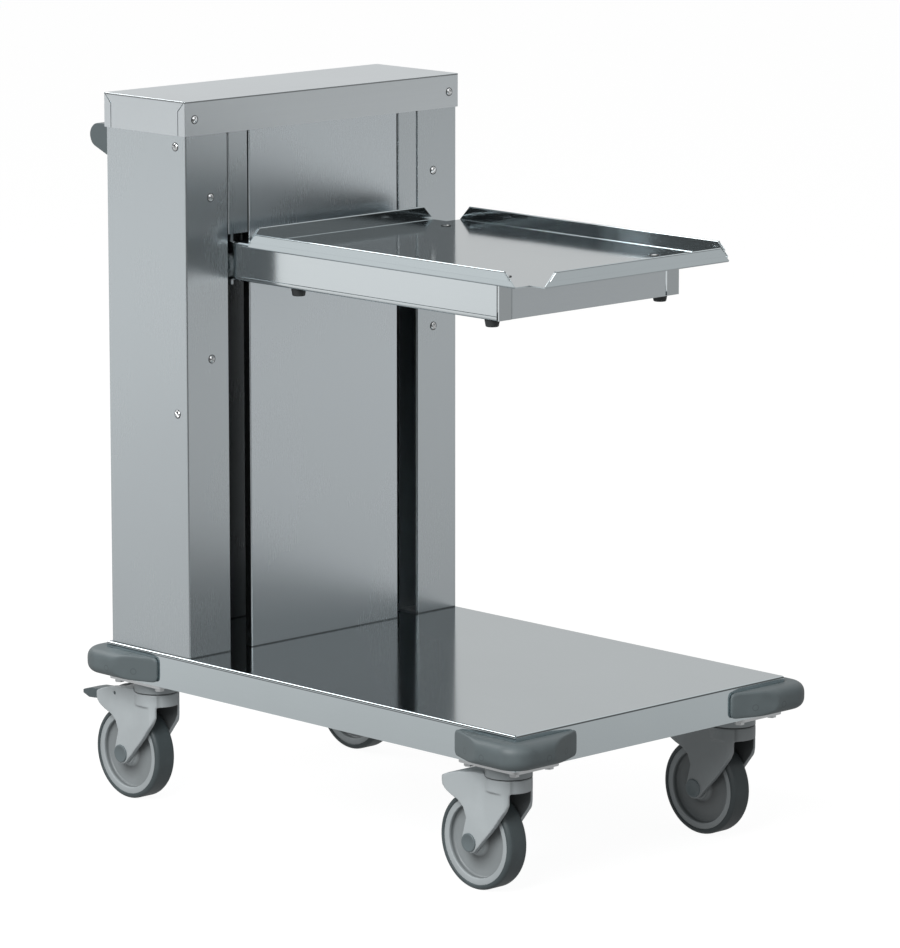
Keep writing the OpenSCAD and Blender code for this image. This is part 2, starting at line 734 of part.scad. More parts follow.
// Rubber tyre with rounded shoulders
module wheel_tyre(sx, y) {
    r = tyre_edge_r;
    color(dark_rubber) on_cart() translate([sx * caster_x, y + caster_trail, wheel_r])
        rotate([0, 90, 0]) rotate_extrude() difference() {
            union() {
                translate([rim_r - 2 * cut, -wheel_w / 2]) square([tyre_t - r + 2 * cut, wheel_w]);
                translate([rim_r - 2 * cut, -wheel_w / 2 + r]) square([tyre_t + 2 * cut, wheel_w - 2 * r]);
                for (s = [-1, 1]) translate([wheel_r - r, s * (wheel_w / 2 - r)]) circle(r = r);
            }
            translate([0, -rim_half_w]) square([rim_r, 2 * rim_half_w]);
        }
}
module wheel_tyre_front_left() { wheel_tyre(-1, caster_front_y); }
module wheel_tyre_front_right() { wheel_tyre(1, caster_front_y); }
module wheel_tyre_rear_left() { wheel_tyre(-1, caster_rear_y); }
module wheel_tyre_rear_right() { wheel_tyre(1, caster_rear_y); }

// Brake pedal of a rear caster: tread, arm with its shoe, and pivot pin
module brake_pedal(sx) {
    color(dark_plastic) on_cart() translate([sx * caster_x, caster_rear_y, 0]) {
        translate([-pedal_arm_w / 2, 0, 0]) rotate([90, 0, 90]) linear_extrude(pedal_arm_w) {
            polygon([for (p = pedal_arm_shares) [p[0] * pedal_reach, p[1] * caster_h]]);
            translate([pedal_pivot_y, pedal_pivot_z]) circle(r = pedal_boss_r);
        }
        translate([-pedal_w / 2, 0, 0]) rotate([90, 0, 90]) linear_extrude(pedal_w)
            polygon([for (p = pedal_tread_shares) [p[0] * pedal_reach, p[1] * caster_h]]);
        translate([-fork_w / 2 + pedal_side_gap, pedal_pivot_y, pedal_pivot_z]) rotate([0, 90, 0])
            cylinder(d = pedal_pin_d, h = fork_w - 2 * pedal_side_gap);
    }
}
module brake_pedal_left() { brake_pedal(-1); }
module brake_pedal_right() { brake_pedal(1); }

// Guide rail: an upright channel that opens towards the middle of the column
module guide_rail(s) {
    color(zinc) on_cart() difference() {
        mirror([s < 0 ? 1 : 0, 0, 0]) difference() {
            intersection() {
                block([rail_tip_x, rail_front, deck_top + foot_t],
                    [rail_outer_x, rail_rear, bridge_z]);
                translate([0, 0, deck_top]) linear_extrude(column_h) cover_inside();
            }
            block([rail_tip_x - cut, rail_front + rail_t, deck_top],
                [rail_outer_x - rail_t, rail_rear - rail_t, bridge_z + cut]);
        }
        cover_screw_holes(cover_screw_l);
    }
}
module guide_rail_left() { guide_rail(-1); }
module guide_rail_right() { guide_rail(1); }

// Feet that bolt the rails to the deck, each with an ear behind its rail
module rail_foot_screw_holes() {
    for (s = [-1, 1], dx = [-1, 1])
        translate([s * foot_screw_x + dx * foot_screw_dx, foot_screw_y, deck_top + foot_t])
            screw_hole(foot_t + 2 * deck_sheet);
}
module rail_feet() {
    color(zinc) on_cart() difference() {
        for (s = [-1, 1]) mirror([s < 0 ? 1 : 0, 0, 0]) {
            block([rail_tip_x + foot_inset, rail_front + foot_inset, deck_top],
                [rail_outer_x - foot_inset, foot_d, deck_top + foot_t]);
            block([rail_tip_x + foot_inset, rail_rear, deck_top],
                [rail_outer_x - foot_inset, rail_rear + foot_t, deck_top + foot_ear_h]);
        }
        rail_foot_screw_holes();
    }
}

// Space inside the covers, seen from above
module cover_inside() {
    translate([-cover_x + cover_sheet, cover_sheet])
        round_rect(column_w - 2 * cover_sheet, column_d - 2 * cover_sheet,
            cover_bend_r - cover_sheet);
}

// Side cover: cheek at the front, side wall and flange at the rear, one folded sheet
module side_cover_plan() {
    intersection() {
        difference() {
            translate([-cover_x, 0]) round_rect(column_w, column_d, cover_bend_r);
            cover_inside();
        }
        union() {
            translate([slot_out, 0]) square([column_w, column_d / 2]);
            translate([cover_x - rear_flange_w, column_d / 2]) square([column_w, column_d]);
        }
    }
}
module side_cover(s) {
    color(steel) on_cart() difference() {
        mirror([s < 0 ? 1 : 0, 0, 0]) translate([0, 0, deck_top])
            linear_extrude(cover_top - deck_top) side_cover_plan();
        cover_screw_holes(cover_screw_l);
        handle_screw_holes();
    }
}
module side_cover_left() { side_cover(-1); }
module side_cover_right() { side_cover(1); }

// Centre panel with a return along each slot
module centre_panel() {
    color(steel) on_cart() {
        block([-slot_in, 0, deck_top], [slot_in, cover_sheet, cover_top]);
        for (s = [0, 1]) mirror([s, 0, 0])
            block([slot_in - cover_sheet, 0, deck_top], [slot_in, panel_return_d, bridge_z]);
    }
}

// Fixed strips that close the slots above the arms
module slot_strips() {
    color(steel) on_cart() for (s = [-1, 1])
        block([s * strip_x - strip_w / 2, cover_sheet, arm_top_z + strip_lift],
            [s * strip_x + strip_w / 2, 2 * cover_sheet, bridge_z + bridge_lip_h]);
}

// Rear panel behind the covers' flanges
module rear_panel() {
    x = cover_x - 2 * cover_sheet;
    color(steel) on_cart() difference() {
        block([-x, rear_panel_front, deck_top], [x, column_d - cover_sheet, bridge_z + bridge_lip_h]);
        cover_screw_holes(cover_screw_l);
        handle_screw_holes();
    }
}

// Bridge across the tops of the rails, with a lip at the front and the rear
module top_bridge() {
    x = cover_x - cover_sheet - cap_gap;
    y0 = 2 * cover_sheet;
    color(zinc) on_cart() difference() {
        block([-x, y0, bridge_z], [x, rear_panel_front, bridge_z + bridge_lip_h]);
        block([-x - cut, y0 + bridge_t, bridge_z + bridge_t],
            [x + cut, rear_panel_front - bridge_t, column_h]);
        cover_screw_holes(3 * cover_screw_l);
    }
}

// Column cap: a folded lid that reaches over the covers
module column_cap() {
    over = cap_gap + cover_sheet;
    mid = column_d / 2;
    color(steel) on_cart() difference() {
        translate([0, 0, cap_bottom])
            pillow(column_w + 2 * over, column_d + 2 * over, cap_h, cover_bend_r, mid);
        translate([0, 0, cap_bottom - cut])
            pillow(column_w + 2 * cap_gap, column_d + 2 * cap_gap, cap_h - cover_sheet + cut,
                cover_bend_r - cover_sheet, mid);
        cover_screw_holes(cover_screw_l);
    }
}

// Rod that the springs hang from, with two lugs up to the bridge
module spring_hanger() {
    color(zinc) on_cart() {
        translate([-lug_x, spring_y, hanger_rod_z]) rotate([0, 90, 0])
            cylinder(d = spring_rod_d, h = 2 * lug_x);
        for (s = [-1, 1])
            block([s * lug_x - lug_t / 2, spring_y - spring_rod_d, hanger_rod_z - spring_rod_d],
                [s * lug_x + lug_t / 2, spring_y + spring_rod_d, bridge_z]);
    }
}

// Lift springs as plain cylinders with a neck at each end
module lift_springs() {
    low = anchor_rod_z + spring_rod_d / 2 + seat_gap;
    high = hanger_rod_z - spring_rod_d / 2 - seat_gap;
    color(bright_steel) on_cart() for (i = [0 : spring_count - 1])
        translate([(i - (spring_count - 1) / 2) * spring_pitch, spring_y, low]) {
            cylinder(d = spring_hook_d, h = high - low);
            translate([0, 0, spring_neck_h]) cylinder(d = spring_d, h = high - low - 2 * spring_neck_h);
        }
}

// Rubber stops over the carriage
module stop_buffers() {
    color(dark_rubber) on_cart() for (s = [-1, 1])
        translate([s * stop_x, crossbar_front + crossbar_d / 2, bridge_z - stop_h])
            cylinder(d = stop_d, h = stop_h);
}

// Screws of the covers, cap, rear panel and rail feet
module cover_screws() {
    color(bright_steel) on_cart() {
        for (i = [0 : len(cheek_screws) - 1])
            facing_front(cheek_screws[i], 35 + 40 * i) screw(cover_screw_l);
        for (i = [0, 1]) facing_front(cap_screws[i], 60 - 80 * i) screw(cover_screw_l);
        for (i = [0 : len(rear_screws) - 1])
            facing_rear(rear_screws[i], 20 + 50 * i) screw(cover_screw_l);
        for (s = [-1, 1], i = [0, 1])
            facing_side(s, [s * cover_x, side_screw_y, cover_z(side_screw_shares[i])], 30 + 70 * i)
                screw(cover_screw_l);
        for (s = [-1, 1], dx = [-1, 1])
            translate([s * foot_screw_x + dx * foot_screw_dx, foot_screw_y, deck_top + foot_t])
                screw(foot_t + 2 * deck_sheet);
        handle_screw_places() screw(handle_screw_l);
    }
}

// Screws of the handle brackets, from inside the column
module handle_screw_places() {
    for (s = [-1, 1], t = handle_screw_shares)
        facing_front([s * bracket_x, rear_panel_front,
            bracket_low_z + t * handle_bracket_h], 15) children();
}
module handle_screw_holes() {
    handle_screw_places() screw_hole(handle_screw_l);
}

// Handle bracket: rounded end round the tube, underside slanting down to the column
module handle_bracket(s) {
    r = handle_bracket_r;
    color(dark_plastic) on_cart() difference() {
        translate([s * bracket_x - handle_bracket_w / 2, 0, 0]) rotate([90, 0, 90])
            linear_extrude(handle_bracket_w) hull() {
                translate([handle_y, handle_z]) circle(r = r);
                translate([column_d, bracket_low_z]) square([cut, handle_z + r - bracket_low_z]);
            }
        translate([-tube_end, handle_y, handle_z]) rotate([0, 90, 0])
            cylinder(d = handle_d, h = 2 * tube_end);
        handle_screw_holes();
    }
}
module handle_bracket_left() { handle_bracket(-1); }
module handle_bracket_right() { handle_bracket(1); }

// Handle tube between the brackets
module handle_tube() {
    color(dark_plastic) on_cart() translate([-tube_end, handle_y, handle_z]) rotate([0, 90, 0])
        cylinder(d = handle_d, h = 2 * tube_end);
}

// One flange of the tray plate along x, outer face at y = 0, with its hem and slanted ends
module tray_flange(length) {
    h = tray_flange_h;
    half = length / 2 - tray_notch;
    translate([0, tray_sheet, arm_top_z]) rotate([90, 0, 0]) linear_extrude(tray_sheet)
        polygon([[-half, 0], [half, 0], [half, tray_sheet], [half - h + tray_sheet, h],
            [h - half - tray_sheet, h], [-half, tray_sheet]]);
    translate([0, 0, arm_top_z + h - tray_sheet]) linear_extrude(tray_sheet)
        polygon([[h - half, tray_sheet], [half - h, tray_sheet], [half - h, -tray_hem_w],
            [h - half, -tray_hem_w]]);
    translate([0, tray_sheet - tray_hem_w, arm_top_z]) rotate([90, 0, 0])
        linear_extrude(tray_sheet)
            polygon([[h - half - tray_hem_h, h - tray_hem_h], [half - h + tray_hem_h, h - tray_hem_h],
                [half - h, h], [h - half, h]]);
}

// Tray plate: floor with notched corners and four raised flanges
module tray_plate() {
    mid = (tray_front + tray_rear) / 2;
    color(bright_steel) on_cart() difference() {
        union() {
            block([-tray_w / 2 + tray_notch, tray_front, arm_top_z],
                [tray_w / 2 - tray_notch, tray_rear, arm_top_z + tray_sheet]);
            block([-tray_w / 2, tray_front + tray_notch, arm_top_z],
                [tray_w / 2, tray_rear - tray_notch, arm_top_z + tray_sheet]);
            translate([0, tray_front, 0]) tray_flange(tray_w);
            translate([0, tray_rear, 0]) mirror([0, 1, 0]) tray_flange(tray_w);
            for (s = [-1, 1]) translate([s * tray_w / 2, mid, 0]) rotate([0, 0, s * 90])
                tray_flange(tray_l);
        }
        plate_screw_holes();
    }
}
module plate_screw_places() {
    for (s = [-1, 1], t = plate_screw_y_shares)
        translate([s * plate_screw_x, -t * arm_reach, arm_top_z + tray_sheet]) children();
}
module plate_screw_head(over) {
    translate([0, 0, -plate_head_h])
        cylinder(d1 = screw_d, d2 = screw_head_d, h = plate_head_h);
    cylinder(d = screw_head_d, h = over);
}
module plate_screw_holes() {
    plate_screw_places() {
        screw_hole(plate_screw_l);
        plate_screw_head(cut);
    }
}

// Arm: a channel outside the column, and its web alone inside
module arm(s) {
    color(steel) on_cart() difference() {
        mirror([s < 0 ? 1 : 0, 0, 0]) {
            block([arm_x - arm_t, -arm_reach, arm_bottom], [arm_x, arm_inside, arm_top_z]);
            for (z = [arm_bottom, arm_top_z - arm_t])
                block([arm_x - arm_flange_w, -arm_reach + front_panel_d + arm_t, z],
                    [arm_x, -arm_stand_off, z + arm_t]);
            for (z = [arm_bottom, arm_top_z - arm_t])
                block([arm_x - arm_return_w, -arm_reach, z],
                    [arm_x, -arm_reach + front_panel_d + 2 * arm_t, z + arm_t]);
            block([arm_x - arm_return_w, -arm_reach, arm_bottom],
                [arm_x, -arm_reach + arm_t, arm_top_z]);
        }
        plate_screw_holes();
        for (t = [-1, 1]) translate([0, rail_mid_y, roller_lower_z]) rotate([0, t * 90, 0])
            cylinder(d = axle_shoulder_d, h = column_w);
    }
}
module arm_left() { arm(-1); }
module arm_right() { arm(1); }

// Front panel between the arms' returned flanges
module arm_front_panel() {
    x = arm_x - arm_return_w - front_panel_gap;
    color(steel) on_cart() difference() {
        block([-x, -arm_reach, arm_bottom], [x, -arm_reach + front_panel_d, arm_top_z]);
        block([-x - cut, -arm_reach + arm_t, arm_bottom + arm_t],
            [x + cut, -arm_reach + front_panel_d + cut, arm_top_z - arm_t]);
        plate_screw_holes();
    }
}

// Carriage: two uprights inside the column
module carriage_uprights() {
    color(zinc) on_cart() difference() {
        for (s = [0, 1]) mirror([s, 0, 0])
            block([arm_x - arm_t - upright_t, upright_front, carriage_bottom],
                [arm_x - arm_t, crossbar_rear, carriage_top]);
        for (z = [roller_lower_z, roller_upper_z]) translate([-column_w / 2, rail_mid_y, z])
            rotate([0, 90, 0]) cylinder(d = roller_pin_d, h = column_w);
    }
}

// Carriage crossbars: two box tubes between the uprights
module carriage_crossbars() {
    x = arm_x - arm_t - upright_t;
    color(zinc) on_cart() for (z = [lower_crossbar_z, upper_crossbar_z]) difference() {
        block([-x, crossbar_front, z], [x, crossbar_rear, z + crossbar_h]);
        block([-x - cut, crossbar_front + crossbar_t, z + crossbar_t],
            [x + cut, crossbar_rear - crossbar_t, z + crossbar_h - crossbar_t]);
    }
}

// Roller axles: nut inside the upright, shoulder, pin and end washer
module roller_axles() {
    in_x = arm_x - arm_t - upright_t;
    shoulder_x = roller_x - roller_w / 2 - slide_gap;
    end_x = roller_x + roller_w / 2 + slide_gap;
    color(bright_steel) on_cart() for (s = [0, 1], z = [roller_lower_z, roller_upper_z])
        mirror([s, 0, 0]) translate([0, rail_mid_y, z]) rotate([0, 90, 0]) {
            translate([0, 0, in_x - upright_t / 2])
                cylinder(d = roller_pin_d, h = end_x - in_x + upright_t / 2);
            translate([0, 0, in_x - upright_t]) cylinder(d = axle_shoulder_d, h = upright_t, $fn = 6);
            translate([0, 0, arm_x - arm_t]) cylinder(d = axle_shoulder_d, h = shoulder_x - arm_x + arm_t);
            translate([0, 0, end_x]) cylinder(d = axle_shoulder_d, h = axle_washer_t);
        }
}

// Guide roller on its pin
module roller(s, z) {
    color(dark_plastic) on_cart() translate([s * roller_x, rail_mid_y, z]) rotate([0, 90, 0])
        difference() {
            cylinder(d = roller_d, h = roller_w, center = true);
            cylinder(r = roller_pin_d / 2 + running_gap, h = 2 * roller_w, center = true);
        }
}
module roller_upper_left() { roller(-1, roller_upper_z); }
module roller_upper_right() { roller(1, roller_upper_z); }
module roller_lower_left() { roller(-1, roller_lower_z); }
module roller_lower_right() { roller(1, roller_lower_z); }

// Lower spring rod, held behind the lower crossbar by two side plates
module spring_anchor() {
    color(zinc) on_cart() {
        translate([-lug_x, spring_y, anchor_rod_z]) rotate([0, 90, 0])
            cylinder(d = spring_rod_d, h = 2 * lug_x);
        for (s = [-1, 1])
            block([s * lug_x - lug_t / 2, crossbar_rear, lower_crossbar_z],
                [s * lug_x + lug_t / 2, spring_y + spring_rod_d, lower_crossbar_z + crossbar_h / 2]);
    }
}

// Countersunk screws that hold the tray plate on the arms
module plate_screws() {
    color(bright_steel) on_cart() plate_screw_places() difference() {
        union() {
            plate_screw_head(0);
            translate([0, 0, -plate_screw_l]) cylinder(d = screw_d, h = plate_screw_l);
        }
        translate([-screw_head_d, -screw_slot_w / 2, -screw_slot_d])
            cube([2 * screw_head_d, screw_slot_w, 2 * screw_slot_d]);
    }
}

// Rubber buffers under the arms
module platform_buffers() {
    color(dark_rubber) on_cart() for (s = [-1, 1], t = buffer_y_shares)
        translate([s * buffer_x, -t * arm_reach, arm_bottom - buffer_h])
            cylinder(d1 = buffer_taper_share * buffer_d, d2 = buffer_d, h = buffer_h);
}

base_deck();
deck_skirt_left();
deck_skirt_right();
deck_skirt_front();
deck_skirt_rear();
deck_crossmember_front();
deck_crossmember_rear();
crossmember_flanges_front();
crossmember_flanges_rear();
deck_rib();
bumper_front_left();
bumper_front_right();
bumper_rear_left();
bumper_rear_right();
bumper_screws();
caster_plates();
caster_bolts();
guide_rail_left();
guide_rail_right();
rail_feet();
side_cover_left();
side_cover_right();
centre_panel();
slot_strips();
rear_panel();
top_bridge();
column_cap();
spring_hanger();
lift_springs();
stop_buffers();
cover_screws();
handle_bracket_left();
handle_bracket_right();
handle_tube();
tray_plate();
arm_left();
arm_right();
arm_front_panel();
carriage_uprights();
carriage_crossbars();
roller_axles();
spring_anchor();
plate_screws();
platform_buffers();
roller_upper_left();
roller_upper_right();
roller_lower_left();
roller_lower_right();
caster_fork_front_left();
caster_fork_front_right();
caster_fork_rear_left();
caster_fork_rear_right();
caster_axle_front_left();
caster_axle_front_right();
caster_axle_rear_left();
caster_axle_rear_right();
wheel_rim_front_left();
wheel_rim_front_right();
wheel_rim_rear_left();
wheel_rim_rear_right();
wheel_tyre_front_left();
wheel_tyre_front_right();
wheel_tyre_rear_left();
wheel_tyre_rear_right();
brake_pedal_left();
brake_pedal_right();
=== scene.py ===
# %% [markdown]
# # Tray dispenser cart
# The packed CAD model is loaded first and stays fixed: every piece goes where it says, in metres,
# with +Z up and the loading side at -Y.

# %% Load the frame
import json

import bmesh
import bpy
import numpy as np
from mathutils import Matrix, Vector


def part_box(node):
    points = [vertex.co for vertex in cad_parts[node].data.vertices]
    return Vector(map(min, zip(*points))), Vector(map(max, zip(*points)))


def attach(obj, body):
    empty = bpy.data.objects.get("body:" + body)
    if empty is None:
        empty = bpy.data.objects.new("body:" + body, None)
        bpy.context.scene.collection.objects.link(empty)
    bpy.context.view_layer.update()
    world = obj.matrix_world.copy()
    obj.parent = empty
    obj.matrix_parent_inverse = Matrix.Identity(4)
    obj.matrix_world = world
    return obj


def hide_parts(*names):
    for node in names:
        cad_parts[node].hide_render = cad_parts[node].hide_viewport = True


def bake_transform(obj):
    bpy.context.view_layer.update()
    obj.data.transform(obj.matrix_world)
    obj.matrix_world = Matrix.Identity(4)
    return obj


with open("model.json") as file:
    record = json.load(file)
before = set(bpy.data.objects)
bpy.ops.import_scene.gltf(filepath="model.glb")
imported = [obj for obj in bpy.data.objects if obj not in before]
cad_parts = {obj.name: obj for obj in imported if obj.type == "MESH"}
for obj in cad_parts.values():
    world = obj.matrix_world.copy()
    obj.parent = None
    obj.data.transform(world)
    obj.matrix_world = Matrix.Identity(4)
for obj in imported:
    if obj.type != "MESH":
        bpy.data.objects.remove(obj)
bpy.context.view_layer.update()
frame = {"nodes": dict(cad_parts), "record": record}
MM = 0.001
CORNERS = ("front_left", "front_right", "rear_left", "rear_right")


def extent(of):
    """Low and high corner, middle and half size of a CAD node's box or of an array of points."""
    low, high = map(np.array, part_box(of) if isinstance(of, str) else (of.min(0), of.max(0)))
    return low, high, (low + high) / 2, (high - low) / 2


def placed(name, data):
    """A new object in the scene."""
    made = bpy.data.objects.new(name, data)
    bpy.context.scene.collection.objects.link(made)
    return made


# %% [markdown]
# ## Camera
# The cart is seen from the left front corner, a little from above, through a long lens, so its
# edges stay almost parallel. Two angles aim the camera, and its lens isn't shifted.

# %% Camera
PICTURE_HEIGHT_PX = 948
FOCAL_PX = 5439
SENSOR_MM = 36
CAMERA_AT = (-4.818, -5.018, 1.748)
CAMERA_TURN = np.radians(-44.09)
CAMERA_DOWN = np.radians(10.51)

camera = placed("camera", bpy.data.cameras.new("camera"))
camera.data.sensor_fit = "VERTICAL"
camera.data.sensor_height = SENSOR_MM
camera.data.lens = FOCAL_PX * SENSOR_MM / PICTURE_HEIGHT_PX
camera.data.clip_end = 60
camera.location = CAMERA_AT
camera.rotation_euler = (np.pi / 2 - CAMERA_DOWN, 0, CAMERA_TURN)
bpy.context.scene.camera = camera
bpy.context.scene.view_settings.view_transform = "Standard"
print("lens", round(camera.data.lens, 1), "mm")

# %% [markdown]
# ## Shader formulas
# A finish is easier to read as a formula than as a web of nodes. `Value` holds one output socket,
# and `+`, `-`, `*` and `/` on it add a Math node.

# %% Values of a node tree
def operator(operation):
    """A method that joins two values by a Math node."""
    return lambda self, other: self.math(operation, other)


class Value:
    """One output of a node tree that works in Python expressions."""

    def __init__(self, finish, socket):
        self.finish, self.socket = finish, socket

    def math(self, operation, *others):
        return self.finish.node("Math", dict(operation=operation),
                                dict(enumerate((self, *others))))

    def __rsub__(self, other):
        return self.finish.node("Math", dict(operation="SUBTRACT"), {0: other, 1: self})

    def __abs__(self):
        return self.math("ABSOLUTE")

    __add__ = __radd__ = operator("ADD")
    __sub__ = operator("SUBTRACT")
    __mul__ = __rmul__ = operator("MULTIPLY")
    __truediv__ = operator("DIVIDE")


print("reversed:", [name for name in vars(Value) if name.startswith("__r")])

# %% [markdown]
# `Finish` is the node tree of a material or a world. It adds any node, its settings first and then
# its sockets, so that a noise, a ramp or a mask is one call wherever it is needed.

# %% Node trees
class Finish:
    """A node tree with one method that adds any node to it."""

    def __init__(self, owner):
        owner.use_nodes = True
        self.owner, self.tree = owner, owner.node_tree
        self.tree.nodes.clear()

    def node(self, kind, settings=None, sockets=None, out=0):
        made = self.tree.nodes.new("ShaderNode" + kind)
        for key, value in (settings or {}).items():
            if key == "stops":
                ramp = made.color_ramp.elements
                while len(ramp) < len(value):
                    ramp.new(0.5)
                for stop, (place, level) in zip(ramp, value):
                    stop.position, stop.color = place, (level, level, level, 1)
            else:
                setattr(made, key, value)
        for key, value in (sockets or {}).items():
            if isinstance(value, Value):
                self.tree.links.new(value.socket, made.inputs[key])
            else:
                made.inputs[key].default_value = value
        return Value(self, made.outputs[out]) if made.outputs else None

    def noise(self, scale, detail, stretch=(1, 1, 1)):
        """Smooth noise from 0 to 1 on the object coordinates, scale features to the metre."""
        place = self.node("Mapping", None, {0: self.node("TexCoord", out=3), 3: stretch})
        return self.node("TexNoise", None, {"Vector": place, "Scale": scale, "Detail": detail})

    def ramp(self, value, *stops):
        """value sent through (place, level) stops."""
        return self.node("ValToRGB", dict(stops=stops), {0: value})

    def axes(self, of="TexCoord", out=3):
        """x, y and z of the object coordinates, or of another vector output."""
        split = self.node("SeparateXYZ", None, {0: self.node(of, out=out)}).socket.node
        return [Value(self, split.outputs[i]) for i in range(3)]

    def band(self, value, low, high, soft=0.0003):
        """1 where value lies between low and high, falling to 0 within soft."""
        span = high - low + 2 * soft
        share = soft / span
        return self.ramp((value - (low - soft)) * (1 / span), (0.0, 0), (share, 1),
                         (1 - share, 1), (1.0, 0))

    def scaled(self, colour, factor):
        """A colour times a factor that varies over the surface."""
        return self.node("VectorMath", dict(operation="SCALE"), {0: colour, 3: factor})

    def tint(self, share, low, high):
        """A colour between low and high."""
        return self.node("Mix", dict(data_type="RGBA"), {0: share, 6: (*low, 1), 7: (*high, 1)},
                         out=2)

    def bump(self, height, distance, strength):
        """Normals of a height field whose full depth is distance, in metres."""
        return self.node("Bump", None, {"Height": height, "Distance": distance,
                                        "Strength": strength})

    def surface(self, shade, light_and_marks=None, **sockets):
        """The principled shader on the output, its colour scaled by a factor of painted light and
        shade, where one is given.
        """
        sockets["Base Color"] = self.scaled(shade, light_and_marks) if light_and_marks else shade
        shader = self.node("BsdfPrincipled", None, sockets)
        self.node("OutputMaterial", None, {0: shader})
        return self.owner


def material(name):
    """The empty node tree of a new material."""
    return Finish(bpy.data.materials.new(name))


print("a Finish has", [name for name in vars(Finish) if name[0] != "_"])

# %% [markdown]
# ## Studio
# The camera sees a white world and a white floor, as in the photograph. The metal sees a studio of
# its own, written as soft lobes around a few directions: a bright wall behind and to the right,
# which the deck and the cap mirror, and darkness elsewhere, which gives edges their contrast.

# %% World
world = bpy.data.worlds.new("studio")
bpy.context.scene.world = world
sky = Finish(world)
AMBIENT = 0.33
DARK = 0.07


def lobe(values, axis, start, full, level):
    """level times a ramp from 0 to 1 as the share along axis goes from start to full."""
    x, y, z = values
    along = (x * axis[0] + y * axis[1] + z * axis[2]) * 0.5 + 0.5
    return x.finish.ramp(along, (start / 2 + 0.5, 0), (full / 2 + 0.5, 1)) * level


def ray_kinds(f):
    """Shares for camera rays and for rays that mirror or pass through."""
    path = f.node("LightPath").socket.node
    camera, glossy, clear = (Value(f, path.outputs[n]) for n in
                             ("Is Camera Ray", "Is Glossy Ray", "Is Transmission Ray"))
    return camera, glossy + clear


way = sky.axes(out=0)
mirrored_light = (lobe(way, (0.62, 0.62, 0.48), 0.30, 0.80, 0.60)
                  + lobe(way, (0.0, 0.0, 1), 0.45, 0.90, 0.55)
                  + lobe(way, (0.70, -0.70, 0), 0.50, 0.95, 0.16)
                  + lobe(way, (-0.10, -0.86, 0.50), 0.88, 0.97, 1.30) + DARK)
camera, mirror = ray_kinds(sky)
light = camera + mirror * mirrored_light + (1.0 - camera - mirror) * AMBIENT
sky.node("OutputWorld", None, {0: sky.node("Background", None, {0: light, 1: 1.0})})
print("world:", len(sky.tree.nodes), "nodes")

# %% [markdown]
# The floor is one large square. The camera sees it nearly white, with a trace of the cart's soft
# shadow. Metal sees a grey that changes from left to right, which ramps describe more exactly than
# lamps could. Below the camera it is dark, as it is round a photographer's stand.

# %% Floor
ground = material("floor_white")
FLOOR_SIZE, FLOOR_WHITE, FLOOR_SHADOW = 30.0, 0.95, 0.12
HALF_ROOT = 0.7071
x, y, _ = ground.axes()
leftward, nearward = (y - x) * HALF_ROOT, (x + y) * -HALF_ROOT
seen = ground.ramp(leftward / 12 + 0.5, (0.05, 0.68), (0.25, 0.66), (0.38, 0.48),
                   (0.50, 0.36), (0.56, 0.52), (0.62, 0.60), (0.92, 0.98))
below_lens = (ground.ramp(nearward * 0.125 + 0.5, (0.56, 0), (0.80, 0.8))
              * ground.ramp(leftward * 0.5 + 0.5, (0.62, 1), (0.85, 0)))
seen = seen * (1.0 - below_lens)
camera, mirror = ray_kinds(ground)
glow = camera * FLOOR_WHITE + mirror * seen + (1.0 - camera - mirror) * AMBIENT
floor_light = ground.node("Emission", None, {0: (1, 1, 1, 1), 1: glow})
floor_paint = ground.node("BsdfDiffuse", None, {0: camera * FLOOR_SHADOW})
ground.node("OutputMaterial", None, {0: ground.node("AddShader", None,
                                                   {0: floor_light, 1: floor_paint})})

mesh = bpy.data.meshes.new("floor")
half = FLOOR_SIZE / 2
mesh.from_pydata([(-half, -half, 0), (half, -half, 0), (half, half, 0), (-half, half, 0)], [],
                 [(0, 1, 2, 3)])
floor = placed("floor", mesh)
mesh.materials.append(ground.owner)
print("floor:", FLOOR_SIZE, "m wide,", len(ground.tree.nodes), "nodes")

# %% [markdown]
# Two soft lamps do the rest: a key from the left and above, which whitens the left faces, and a
# weak one from behind, which draws the upper edges.

# %% Lamps
for name, at, aim, size, power in (("key_left", (-3.4, -1.2, 2.9), (0, 0, 0.4), 2.4, 160),
                                   ("rim_back", (-0.8, 3.4, 3.4), (0, 0, 0.6), 2.0, 50)):
    data = bpy.data.lights.new(name, "AREA")
    data.size, data.energy = size, power
    made = placed(name, data)
    made.location = at
    made.rotation_euler = (Vector(aim) - Vector(at)).to_track_quat("-Z", "Y").to_euler()

# %% [markdown]
# ## Finishes
# The sheets are brushed stainless steel. Its grain is noise stretched along one direction, which
# changes the normals and the roughness a little; wide soft noise adds the faint clouds that hands
# and cloths leave. The deck and the tray plate are polished, so they mirror what stands on them.

# %% Brushed steel
def steel(name, colour, roughness, stretch, grain=0.5, clouds=0.06, depth=2e-5, light_and_marks=None):
    """Metal with grain across the axis whose stretch is largest; painted light and shade scale its
    colour.
    """
    f = material(name)
    fine = f.noise(1.0, 3, tuple(s * FINE for s in stretch))
    streak = f.noise(1.0, 2, tuple(s * STREAK for s in stretch))
    cloud = f.noise(5.0, 3)
    dark = tuple(c * 0.90 for c in colour)
    shade = f.tint(streak * grain + cloud * (1 - grain), dark, colour)
    rough = fine * (0.16 * grain) + cloud * clouds + (roughness - 0.08 * grain - clouds / 2)
    return f.surface(shade, light_and_marks and light_and_marks(f), Metallic=1.0, Roughness=rough,
                     Normal=f.bump(fine, depth, 0.35))


FINE, STREAK = 60, 9
print("scratches to a streak:", round(FINE / STREAK, 1))

# %% [markdown]
# Painted light and shade: thin dark lines are painted into the bends of the cap and the deck,
# faces that turn inwards are painted darker, and the deck's skirts are painted lighter. Masks over
# the coordinates and normals scale the colour there. The CAD nodes' boxes give their places.

# %% Painted light and shade on the cap and the deck
CAP_TOP, DECK_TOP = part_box("column_cap")[1].z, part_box("base_deck")[1].z
LINE_DARK = 0.6


